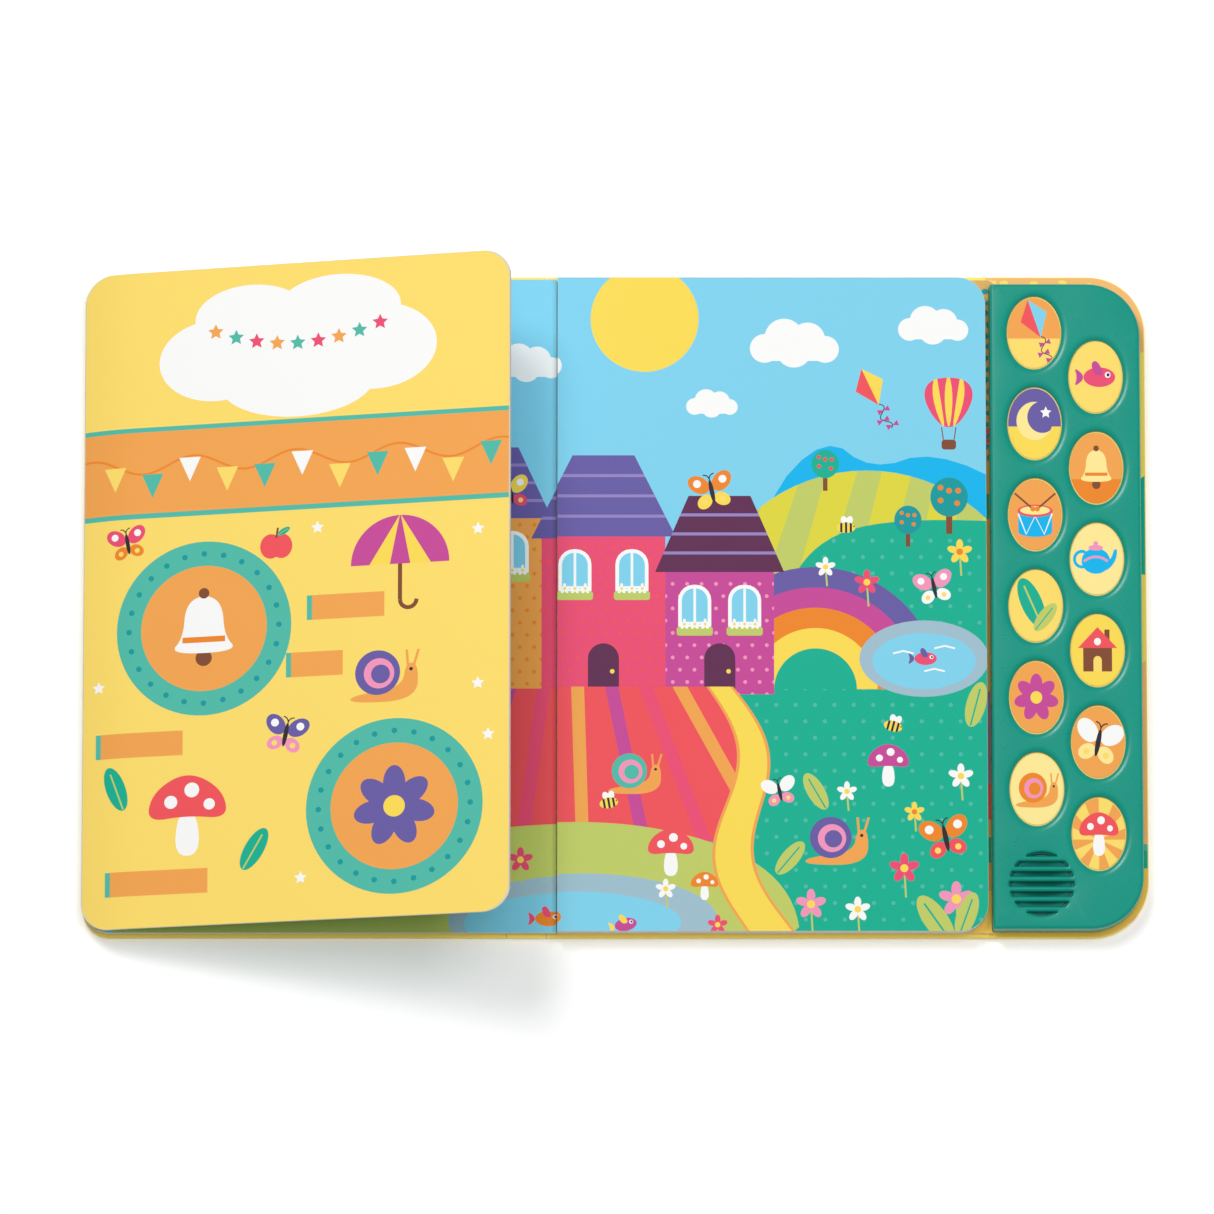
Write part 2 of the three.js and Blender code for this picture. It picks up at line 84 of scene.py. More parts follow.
class Finish:
    """A material under construction: node() adds any node, and surface() sets the shader."""

    def __init__(self, name):
        self.material = bpy.data.materials.new(name)
        self.material.use_nodes = True
        self.tree = self.material.node_tree
        self.shader = self.tree.nodes["Principled BSDF"]
        self.place = self.node("ShaderNodeTexCoord").outputs["Object"]

    def node(self, kind, settings=None, inputs=None):
        node = self.tree.nodes.new(kind)
        for key, value in (settings or {}).items():
            setattr(node, key, value)
        for key, value in (inputs or {}).items():
            self.feed(node.inputs[key], value)
        return node

    def feed(self, socket, value):
        if isinstance(value, Wire):
            value = value.socket
        if isinstance(value, bpy.types.NodeSocket):
            self.tree.links.new(value, socket)
        else:
            socket.default_value = value

    def noise(self, size, detail=3.0, roughness=0.5, stretch=(1, 1, 1)):
        """Noise from 0 to 1 whose blotches are about size millimetres across."""
        scale = [1 / (size * MM * s) for s in stretch]
        spread = self.node("ShaderNodeMapping", inputs={"Vector": self.place, "Scale": scale})
        inputs = {"Vector": spread.outputs[0], "Scale": 1.0, "Detail": detail, "Roughness": roughness}
        return Wire(self.tree, self.node("ShaderNodeTexNoise", inputs=inputs).outputs["Fac"])

    def bump(self, height, depth, under=None):
        """A bump from a height of 0 to 1 that is depth millimetres deep, over another bump."""
        inputs = {"Height": height, "Distance": depth * MM, "Strength": 1.0}
        if under is not None:
            inputs["Normal"] = under
        return self.node("ShaderNodeBump", inputs=inputs).outputs["Normal"]

    def blend(self, mask, first, second):
        """The first colour where mask is 0 and the second where it is 1."""
        inputs = {0: mask, 6: first, 7: second}
        return self.node("ShaderNodeMix", {"data_type": "RGBA"}, inputs).outputs[2]

    def surface(self, **inputs):
        for key, value in inputs.items():
            self.feed(self.shader.inputs[key.replace("_", " ")], value)
        return self.material


def ink(red, green, blue):
    """A printed colour from its three sRGB numbers, turned to linear light."""
    part = np.array([red, green, blue]) / 255
    linear = np.where(part > 0.04045, ((part + 0.055) / 1.055) ** 2.4, part / 12.92)
    return (*linear.tolist(), 1.0)


INKS = {
    "yellow": ink(253, 221, 108),
    "sun": ink(251, 219, 84),
    "pale": ink(254, 233, 150),
    "orange": ink(243, 165, 80),
    "amber": ink(239, 135, 38),
    "teal_line": ink(79, 187, 167),
    "sky": ink(129, 210, 237),
    "deep": ink(0, 181, 236),
    "teal": ink(12, 176, 145),
    "sea": ink(13, 153, 156),
    "lime": ink(193, 205, 103),
    "grass": ink(222, 214, 62),
    "pond": ink(160, 191, 206),
    "magenta": ink(199, 73, 152),
    "pink": ink(236, 77, 116),
    "rose": ink(244, 150, 188),
    "violet": ink(104, 92, 164),
    "plum": ink(96, 42, 81),
    "lilac": ink(150, 132, 194),
    "red": ink(241, 83, 90),
    "brown": ink(130, 75, 47),
    "white": ink(250, 250, 248),
    "dark": ink(44, 40, 52),
    "border_orange": ink(250, 188, 116),
    "border_yellow": ink(253, 226, 108),
    "border_gold": ink(250, 202, 88),
    # painted shade: a yellow darkened for the last leaf's strip in the gap by the module
    "ochre": ink(216, 174, 98),
    "mauve": ink(150, 126, 160),
}


def printed(name):
    """Offset print on coated paper under a satin film: fine paper grain, the board's slow
    waves below it, and a gloss that wanders a little and dulls where hands rub it."""
    finish = Finish("print_" + name)
    fibre = finish.noise(0.35, 4, 0.6)
    wave = finish.noise(26, 2, 0.5)
    rub = finish.noise(9, 5, 0.65)
    grain = finish.bump(fibre, 0.012)
    return finish.surface(
        Base_Color=INKS[name],
        Roughness=0.40 + rub * 0.16 + fibre * 0.06,
        Normal=finish.bump(wave, 0.16, grain),
        Specular_IOR_Level=0.3,
    )


prints = {name: printed(name) for name in INKS}


def wrapped_cover():
    """Printed wrap of the covers: yellow ground with rows of orange dots, scuffed at random."""
    finish = Finish("cover_wrap")
    cell = finish.node("ShaderNodeMapping", inputs={"Vector": finish.place, "Scale": (90, 90, 90)})
    dots = finish.node(
        "ShaderNodeTexVoronoi",
        {"voronoi_dimensions": "2D"},
        {"Vector": cell.outputs[0], "Scale": 1.0, "Randomness": 0.0},
    )
    dot = 1 - (Wire(finish.tree, dots.outputs["Distance"]) > 0.2)
    fibre = finish.noise(0.35, 4, 0.6)
    rub = finish.noise(12, 5, 0.7)
    worn = rub > 0.72
    colour = finish.blend(dot, INKS["border_yellow"], INKS["border_orange"])
    return finish.surface(
        Base_Color=finish.blend(worn * 0.12, colour, INKS["white"]),
        Roughness=0.42 + rub * 0.2,
        Normal=finish.bump(fibre, 0.012),
        Specular_IOR_Level=0.4,
    )


def dress(node, material):
    """Gives one material to a piece of the frame."""
    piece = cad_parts[node]
    piece.data.materials.clear()
    piece.data.materials.append(material)


cover_wrap = wrapped_cover()
for board in ("back_cover", "spine", "front_cover"):
    dress(board, cover_wrap)


# Liner. A sheet of paper glued inside the back cover. Its print shows as a border round the
# sound module: orange with yellow dots at the head, yellow down the side, teal patches.
def circle(x, y, rx, ry=None, turn=0.0, points=40):
    """An ellipse about x, y: (rx cos t, ry sin t), turned by an angle in degrees."""
    t = np.linspace(0, 2 * math.pi, points, endpoint=False)
    ry = rx if ry is None else ry
    a = math.radians(turn)
    u, v = rx * np.cos(t), ry * np.sin(t)
    return np.stack([x + u * math.cos(a) - v * math.sin(a), y + u * math.sin(a) + v * math.cos(a)], 1)


def box(x0, x1, y0, y1):
    """A rectangle."""
    return np.array([[x0, y0], [x1, y0], [x1, y1], [x0, y1]], float)


def soft(points, rounds=3):
    """A closed line through points with its corners cut at a quarter of each side, again and
    again, so that it ends as a round outline."""
    line = np.array(points, float)
    for _ in range(rounds):
        after = np.roll(line, -1, 0)
        line = np.stack([0.75 * line + 0.25 * after, 0.25 * line + 0.75 * after], 1).reshape(-1, 2)
    return line


def stroke(points, width):
    """A line of even width through points: each point moved half the width to either side."""
    line = np.array(points, float)
    along = np.gradient(line, axis=0)
    along /= np.linalg.norm(along, axis=1)[:, None]
    side = np.stack([-along[:, 1], along[:, 0]], 1) * width / 2
    return np.concatenate([line + side, (line - side)[::-1]])


def arc(x, y, r, start, end, points=24):
    """Points on a circle from one angle to another, in degrees."""
    t = np.radians(np.linspace(start, end, points))
    return np.stack([x + r * np.cos(t), y + r * np.sin(t)], 1)


def rounded(x0, x1, y0, y1, radii, points=10):
    """A rectangle whose corners (tail left, tail right, head right, head left) have radii."""
    a, b, c, d = radii
    parts = [
        arc(x0 + a, y0 + a, a, 180, 270, points) if a else np.array([[x0, y0]]),
        arc(x1 - b, y0 + b, b, 270, 360, points) if b else np.array([[x1, y0]]),
        arc(x1 - c, y1 - c, c, 0, 90, points) if c else np.array([[x1, y1]]),
        arc(x0 + d, y1 - d, d, 90, 180, points) if d else np.array([[x0, y1]]),
    ]
    return np.concatenate(parts)


def inside(points, outline):
    """True for the points that a ray to the right crosses the outline an odd number of times."""
    low, high = outline.min(0), outline.max(0)
    near = np.nonzero(np.all((points >= low) & (points <= high), axis=1))[0]
    result = np.zeros(len(points), bool)
    if not len(near):
        return result
    x, y = points[near, 0][:, None], points[near, 1][:, None]
    x0, y0 = outline[:, 0][None], outline[:, 1][None]
    x1, y1 = np.roll(outline[:, 0], -1)[None], np.roll(outline[:, 1], -1)[None]
    spans = (y0 > y) != (y1 > y)
    rise = np.where(y1 == y0, 1, y1 - y0)
    crossing = spans & (x < (x1 - x0) * (y - y0) / rise + x0)
    result[near] = crossing.sum(1) % 2 == 1
    return result


def partition(outline, layers, lines=()):
    """Cuts the area in outline along the edges of all layers, and gives each triangle the
    colour of the topmost layer that covers its middle. A layer is (colour, outline) or
    (colour, outline, mask), where it shows only inside the mask; lines are extra cuts."""
    loops = [outline] + [loop for layer in layers for loop in layer[1:]]
    points = [tuple(p) for loop in loops for p in loop.tolist()]
    edges, start = [], 0
    for loop in loops:
        count = len(loop)
        edges += [(start + i, start + (i + 1) % count) for i in range(count)]
        start += count
    for line in lines:
        points += [tuple(p) for p in line]
        edges.append((start, start + 1))
        start += 2
    made = delaunay_2d_cdt(points, edges, [], 0, 1e-4, False)
    places = np.array([tuple(v) for v in made[0]])
    triangles = np.array(made[2])
    middle = places[triangles].mean(1)
    kept = inside(middle, outline)
    triangles, middle = triangles[kept], middle[kept]
    names = list(dict.fromkeys(layer[0] for layer in layers))
    colours = np.zeros(len(triangles), int)
    for layer in layers:
        hit = inside(middle, layer[1])
        if len(layer) > 2:
            hit &= inside(middle, layer[2])
        colours[hit] = names.index(layer[0])
    shape = places[triangles]
    area = np.cross(shape[:, 1] - shape[:, 0], shape[:, 2] - shape[:, 0])
    triangles[area < 0] = triangles[area < 0][:, ::-1]
    return places, triangles, names, colours


def rim_edges(triangles):
    """The directed edges that only one triangle has."""
    edges = np.concatenate([triangles[:, [0, 1]], triangles[:, [1, 2]], triangles[:, [2, 0]]])
    key = np.sort(edges, 1)
    _, first, counts = np.unique(key, axis=0, return_index=True, return_counts=True)
    return edges[first[counts == 1]]


def new_piece(name, places, faces, materials, indices, body, sharp=35.0):
    """A mesh in metres from places in millimetres, shaded smooth between its edges."""
    used, faces_flat = np.unique(np.concatenate([f.ravel() for f in faces]), return_inverse=True)
    split = np.cumsum([f.size for f in faces])[:-1]
    groups = [g.reshape(-1, f.shape[1]) for g, f in zip(np.split(faces_flat, split), faces)]
    mesh = bpy.data.meshes.new(name)
    mesh.from_pydata((places[used] * MM).tolist(), [], [row for g in groups for row in g.tolist()])
    for material in materials:
        mesh.materials.append(material)
    mesh.polygons.foreach_set("material_index", np.concatenate(indices).astype(np.int32))
    mesh.shade_smooth()
    mesh.set_sharp_from_angle(angle=math.radians(sharp))
    mesh.update()
    piece = bpy.data.objects.new(name, mesh)
    bpy.context.collection.objects.link(piece)
    if body:
        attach(piece, body)
    return piece


def print_sheet(name, outline, layers, lift, body, lines=(), thick=0.05):
    """A printed sheet laid on a face: lift(x, y) gives the face's height and its unit normal
    in X and Z, and the sheet is a closed solid of that thickness over it. The colour "hole",
    which comes last, is left out."""
    places, triangles, names, colours = partition(outline, layers, lines)
    if "hole" in names:
        kept = colours != names.index("hole")
        triangles, colours = triangles[kept], colours[kept]
        names.remove("hole")
    x, y = places[:, 0], places[:, 1]
    z, nx, nz = lift(x, y)
    low = np.stack([x + nx * 0.004, y, z + nz * 0.004], 1)
    high = low + np.stack([nx, 0 * nx, nz], 1) * thick
    count = len(places)
    facing = nz[triangles].mean() > 0
    top = triangles + count if facing else triangles[:, ::-1] + count
    bottom = triangles[:, ::-1] if facing else triangles
    rim = rim_edges(triangles)
    a, b = (rim[:, 0], rim[:, 1]) if facing else (rim[:, 1], rim[:, 0])
    walls = np.stack([a, b, b + count, a + count], 1)
    both = np.concatenate([low, high])
    edge = np.zeros(len(walls), int)
    return new_piece(
        name,
        both,
        [top, bottom, walls],
        [prints[n] for n in names],
        [colours, colours, edge],
        body,
    )


def flat(height):
    """A level face at that height."""
    return lambda x, y: (np.full(len(x), float(height)), np.zeros(len(x)), np.ones(len(x)))


def extent(node):
    """The lowest and highest corner of a piece of the frame, in millimetres."""
    low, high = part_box(node)
    return np.array(low) / MM, np.array(high) / MM


def dot_rows(colour, x0, x1, y0, y1, pitch, radius, mask=None):
    """Rows of dots, every second row moved by half the pitch."""
    layers = []
    for j, y in enumerate(np.arange(y0, y1, pitch * 0.86)):
        for x in np.arange(x0 + (j % 2) * pitch / 2, x1, pitch):
            spot = (colour, circle(x, y, radius, points=14))
            layers.append(spot if mask is None else spot + (mask,))
    return layers


liner_low, liner_high = extent("back_liner")
module_low, module_high = extent("module_front_shell")
page_low, page_high = extent("right_pages")
liner_corner = 21.7
module_corner = 20.5
page_corner = 10.95
border_left = page_high[0] - 4
border = rounded(
    border_left, liner_high[0], liner_low[1], liner_high[1], [0, liner_corner, liner_corner, 0], 16
)
border_art = [
    ("border_yellow", box(border_left - 9, 240, -140, 140)),
    (
        "border_orange",
        soft([(150, 112), (196, 116), (212, 110), (222, 98), (240, 104), (240, 150), (150, 150)]),
    ),
    ("border_orange", soft([(215, -30), (240, -14), (240, -96), (215, -96)])),
    ("border_gold", box(150, 240, -140, -99)),
    ("teal", soft([(218, 14), (222, 51), (240, 53), (240, 10)], 2)),
    ("teal", box(218, 240, -103, -96)),
    ("teal_line", box(218, 240, -96, -93.5)),
]
for x, y, turn in (
    (174, 127.8, 4), (185.6, 127.6, -4), (196.8, 127.9, -10), (207.6, 126.6, -24), (216.6, 121.4, -42),
    (180, 124.6, 0), (212, 118, -30), (223.6, 112.4, -58),
):
    border_art.append(("border_yellow", circle(x, y, 1.7, 0.85, turn, 24), border_art[1][1]))
clear = 0.1
module_hole = rounded(
    module_low[0] - clear, module_high[0] + clear, module_low[1] - clear, module_high[1] + clear,
    [0.9, module_corner + clear, module_corner + clear, 0.9], 16,
)
page_hole = box(border_left - 9, page_high[0] + clear, page_low[1] - clear, page_high[1] + clear)
border_holes = [("hole", module_hole), ("hole", page_hole)]
border_print = print_sheet(
    "back_border_print", border, border_art + border_holes, flat(liner_high[2]), "back", thick=0.03
)
dress("back_liner", prints["border_yellow"])


# Right pages. Leaves of white-lined board glued back to back, die cut with round corners.
# The edges show grey-white board, partly darkened as painted shade; the print of the top leaf runs over
# from the left page.
def board_core_painted_shade():
    """Cut board seen at its edge: pale pulp with fine plies that run along the leaf, in colours darkened as
    painted shade for the edges, with random darker blotches.
    """
    finish = Finish("board_core_painted_shade")
    ply = finish.noise(0.5, 3, 0.6, (60, 60, 0.5))
    pulp = finish.noise(2.5, 4, 0.6)
    soil = (pulp * 0.5 + ply * 0.5) * 0.35
    return finish.surface(
        # Both colours are darker than the board's own grey-white: painted shade on the page edges.
        Base_Color=finish.blend(soil, ink(226, 218, 200), ink(180, 170, 150)),
        Roughness=0.78 + pulp * 0.15,
        Normal=finish.bump(ply, 0.06),
    )


core = board_core_painted_shade()
for block in ("right_pages", "turned_pages", "folded_leaf"):
    dress(block, core)


def moved(layers, x, y, size, turn=0.0):
    """A motif drawn about 0, 0 with a size of about 1 on either side, put in its place."""
    a = math.radians(turn)
    spin = np.array([[math.cos(a), math.sin(a)], [-math.sin(a), math.cos(a)]]) * size
    return [(layer[0],) + tuple(loop @ spin + [x, y] for loop in layer[1:]) for layer in layers]


def butterfly(upper="pink", lower="orange"):
    """Four wings as tilted ellipses with a spot in each, a body and two feelers."""
    layers = []
    for side in (-1, 1):
        layers.append((upper, circle(side * 0.5, 0.36, 0.5, 0.36, side * 40)))
        layers.append((lower, circle(side * 0.38, -0.42, 0.36, 0.28, -side * 35)))
        layers.append(("white", circle(side * 0.56, 0.42, 0.17)))
        layers.append(("yellow", circle(side * 0.4, -0.44, 0.12)))
        feeler = arc(side * 0.24, 0.5, 0.24, 180 if side > 0 else 0, 90, 8)
        layers.append(("dark", stroke(feeler, 0.05)))
    layers.append(("dark", circle(0, -0.02, 0.1, 0.52)))
    return layers


def flower(petal="rose", heart="sun", count=5):
    """Petals as ellipses round a disc."""
    layers = []
    for k in range(count):
        a = 360 * k / count + 90
        x, y = 0.55 * math.cos(math.radians(a)), 0.55 * math.sin(math.radians(a))
        layers.append((petal, circle(x, y, 0.44, 0.27, a, 24)))
    layers.append((heart, circle(0, 0, 0.26, points=24)))
    return layers


def toadstool(cap="red"):
    """A stalk under a round cap with pale spots."""
    return [
        ("white", soft([(-0.22, 0.1), (-0.3, -0.9), (0.3, -0.9), (0.22, 0.1)], 2)),
        (cap, soft([(-0.95, -0.1), (-0.8, 0.6), (0, 1.05), (0.8, 0.6), (0.95, -0.1), (0, 0.02)])),
        ("white", circle(-0.38, 0.34, 0.15, points=20)),
        ("white", circle(0.1, 0.6, 0.17, points=20)),
        ("white", circle(0.5, 0.26, 0.13, points=20)),
    ]


def snail(shell="magenta"):
    """A long foot with horns, and a shell of rings."""
    return [
        (
            "orange",
            soft([(-0.9, -0.6), (-0.95, -0.82), (0.9, -0.82), (0.95, 0.2), (0.6, 0.25), (0.5, -0.45)]),
        ),
        ("orange", stroke([(0.8, 0.1), (0.95, 0.6)], 0.07)),
        ("orange", stroke([(0.66, 0.1), (0.62, 0.6)], 0.07)),
        (shell, circle(-0.18, 0.0, 0.62)),
        ("rose", circle(-0.14, -0.02, 0.42)),
        (shell, circle(-0.1, -0.04, 0.26)),
        ("dark", circle(0.74, 0.06, 0.05, points=12)),
    ]


def fish(body="amber", fin="pink"):
    """A leaf-shaped body with a tail, a fin and an eye."""
    return [
        (fin, soft([(-0.5, 0), (-1.05, 0.45), (-0.9, 0), (-1.05, -0.45)], 2)),
        (body, circle(0.1, 0, 0.72, 0.42)),
        (fin, soft([(-0.1, 0.05), (0.35, 0.1), (0.0, 0.75), (-0.3, 0.6)], 2)),
        ("white", circle(0.48, 0.1, 0.13, points=20)),
        ("dark", circle(0.5, 0.1, 0.07, points=16)),
    ]


def umbrella(first="pink", second="sun"):
    """A half round of five panels over a hooked stick."""
    dome = np.concatenate([arc(0, 0, 0.95, 0, 180, 30), np.array([[-0.95, 0.0]])])
    layers = [("brown", stroke([(0, 0.9), (0, -0.7)], 0.08))]
    layers.append(("brown", stroke(arc(0.16, -0.7, 0.16, 180, 360, 10), 0.08)))
    layers.append((first, dome))
    for x0, x1 in ((-0.6, -0.2), (0.2, 0.6)):
        layers.append((second, np.array([(x0, -0.01), (x1, -0.01), (0.02 * x1, 0.96)]), dome))
    return layers


def bell(body="sun"):
    """A flared bell with a band and a clapper."""
    side = [(-0.85, -0.6), (-0.5, -0.2), (-0.45, 0.6), (0, 0.85), (0.45, 0.6), (0.5, -0.2), (0.85, -0.6)]
    return [
        ("brown", circle(0, -0.72, 0.2, points=20)),
        (body, soft(side)),
        ("amber", box(-0.52, 0.52, -0.34, -0.2)),
        ("brown", circle(0, 0.86, 0.13, points=18)),
    ]


def drum(side="deep"):
    """A drum seen from a little above, laced with a zigzag, and two sticks."""
    layers = [
        (side, box(-0.75, 0.75, -0.65, 0.2)),
        (side, circle(0, -0.65, 0.75, 0.22)),
        ("white", stroke([(-0.75, 0.1), (-0.4, -0.75), (0, 0.0), (0.4, -0.75), (0.75, 0.1)], 0.07)),
        ("red", circle(0, 0.22, 0.78, 0.26)),
        ("pale", circle(0, 0.24, 0.66, 0.18)),
    ]
    for s in (-1, 1):
        layers.append(("brown", stroke([(s * 0.9, 0.95), (s * 0.1, 0.3)], 0.08)))
        layers.append(("amber", circle(s * 0.1, 0.3, 0.11, points=16)))
    return layers


def teapot(body="violet"):
    """A round pot with a spout, a handle and a lid."""
    spout = [(0.4, -0.3), (0.75, 0.1), (0.85, 0.45), (1.02, 0.42), (0.9, -0.15), (0.45, -0.55)]
    return [
        (body, stroke(arc(-0.65, 0.0, 0.34, 60, 300, 14), 0.14)),
        (body, soft(spout, 2)),
        (body, circle(0, -0.08, 0.66, 0.56)),
        ("rose", stroke(arc(0, -0.75, 0.85, 50, 130, 14), 0.1), circle(0, -0.08, 0.66, 0.56)),
        ("rose", circle(0, 0.5, 0.34, 0.12)),
        ("rose", circle(0, 0.68, 0.11, points=16)),
    ]


def cloud(body="white", drops=True):
    """A flat-bottomed heap of discs, with drops falling from it."""
    layers = [(body, circle(x, y, r, points=28)) for x, y, r in (
        (-0.6, 0.12, 0.3), (-0.2, 0.34, 0.4), (0.28, 0.3, 0.36), (0.64, 0.1, 0.28), (0.0, 0.08, 0.36))]
    layers.append((body, rounded(-0.85, 0.88, -0.14, 0.2, [0.16] * 4, 6)))
    if drops:
        for x, y in ((-0.5, -0.4), (0, -0.5), (0.5, -0.4), (-0.25, -0.75), (0.25, -0.8)):
            drop = [(x - 0.1, y - 0.08), (x, y - 0.16), (x + 0.1, y - 0.08), (x, y + 0.2)]
            layers.append(("deep", soft(drop, 2)))
    return layers


def kite(first="red", second="sun"):
    """A diamond in two colours, with a tail of bows."""
    tail = np.stack([0.18 * np.sin(np.linspace(0, 9, 20)), np.linspace(-0.7, -1.9, 20)], 1)
    layers = [("dark", stroke(tail, 0.04))]
    layers.append((first, np.array([(0, 1.0), (-0.65, 0.2), (0, -0.75), (0.65, 0.2)])))
    layers.append((second, np.array([(0, 1.0), (0, -0.75), (0.65, 0.2)])))
    for k, y in enumerate((-1.05, -1.45, -1.8)):
        x = 0.18 * math.sin(9 * (-0.7 - y) / 1.2)
        for s in (-1, 1):
            end = x + s * 0.26
            layers.append(("magenta", np.array([(x, y), (end, y + 0.13), (end, y - 0.13)])))
    return layers


def cottage(wall="red", roof="violet"):
    """A small house with a pitched roof, a door and a round window."""
    door = np.concatenate([np.array([(-0.18, -0.85), (0.18, -0.85)]), arc(0, -0.4, 0.18, 0, 180, 10)])
    return [
        ("brown", box(0.3, 0.52, 0.3, 0.85)),
        (wall, box(-0.62, 0.62, -0.85, 0.15)),
        (roof, np.array([(-0.85, 0.1), (0, 0.95), (0.85, 0.1)])),
        ("yellow", door),
        ("white", circle(0, 0.36, 0.15, points=18)),
    ]


def leaf(body="teal", rib="lime"):
    """A pointed leaf between two arcs, with a middle rib."""
    t = np.linspace(0, math.pi, 16)
    edge = np.stack([0.42 * np.sin(t), -np.cos(t)], 1)
    return [
        (body, np.concatenate([edge, edge[::-1] * [-1, 1]])),
        (rib, stroke([(0, -0.95), (0, 0.7)], 0.07)),
    ]


def apple(body="red"):
    """A round fruit with a stalk and one leaf."""
    return [
        (body, circle(-0.26, -0.05, 0.52, 0.6)),
        (body, circle(0.26, -0.05, 0.52, 0.6)),
        ("brown", stroke([(0, 0.35), (0.08, 0.85)], 0.1)),
        *moved(leaf(), 0.36, 0.66, 0.34, -60),
    ]


def bee():
    """A striped oval with two pale wings."""
    body = circle(0, -0.1, 0.72, 0.42)
    layers = [("white", circle(-0.12, 0.42, 0.26, 0.4, 20)), ("white", circle(0.25, 0.42, 0.26, 0.4, -20))]
    layers.append(("sun", body))
    layers += [("dark", box(x, x + 0.17, -0.6, 0.5), body) for x in (-0.45, -0.08, 0.29)]
    layers.append(("dark", circle(0.62, 0.0, 0.06, points=12)))
    return layers


def moon():
    """A crescent and a star."""
    ring = circle(0, 0, 0.8)
    layers = [("pale", ring), ("violet", circle(0.34, 0.16, 0.66), ring)]
    return layers + moved(star("white"), 0.5, 0.35, 0.26)


def star(body="sun", points=5):
    """A star: points at radius 1 and notches at half of it."""
    t = np.radians(90 + np.arange(2 * points) * 180 / points)
    r = np.where(np.arange(2 * points) % 2, 0.48, 1.0)
    return [(body, np.stack([r * np.cos(t), r * np.sin(t)], 1))]


def tree(crown="teal", fruit="red"):
    """A round crown with fruit on a straight trunk."""
    layers = [("brown", box(-0.11, 0.11, -1.0, 0.1)), (crown, circle(0, 0.32, 0.66, 0.7))]
    for x, y in ((-0.3, 0.2), (0.28, 0.1), (0.0, 0.55), (0.32, 0.55), (-0.3, 0.66)):
        layers.append((fruit, circle(x, y, 0.1, points=14)))
    return layers


def balloon(first="red", second="sun"):
    """A hot-air balloon: an upright oval in gores over a basket."""
    hull = soft([(-0.75, 0.5), (-0.5, 1.05), (0.5, 1.05), (0.75, 0.5), (0.25, -0.35), (-0.25, -0.35)])
    layers = [("brown", stroke([(s * 0.2, -0.35), (s * 0.15, -0.7)], 0.03)) for s in (-1, 1)]
    layers.append((first, hull))
    for x, w in ((-0.36, 0.13), (0, 0.14), (0.36, 0.13)):
        gore = soft([(x - w, 0.5), (x, 1.3), (x + w, 0.5), (x * 0.2, -0.6)], 2)
        layers.append((second, gore, hull))
    layers.append(("brown", rounded(-0.2, 0.2, -0.98, -0.7, [0.08] * 4, 4)))
    return layers


# The picture across both pages, drawn in millimetres from the gutter
def hill(colour, x, y, rx, ry):
    """A wide smooth ellipse."""
    return (colour, circle(x, y, rx, ry, points=72))


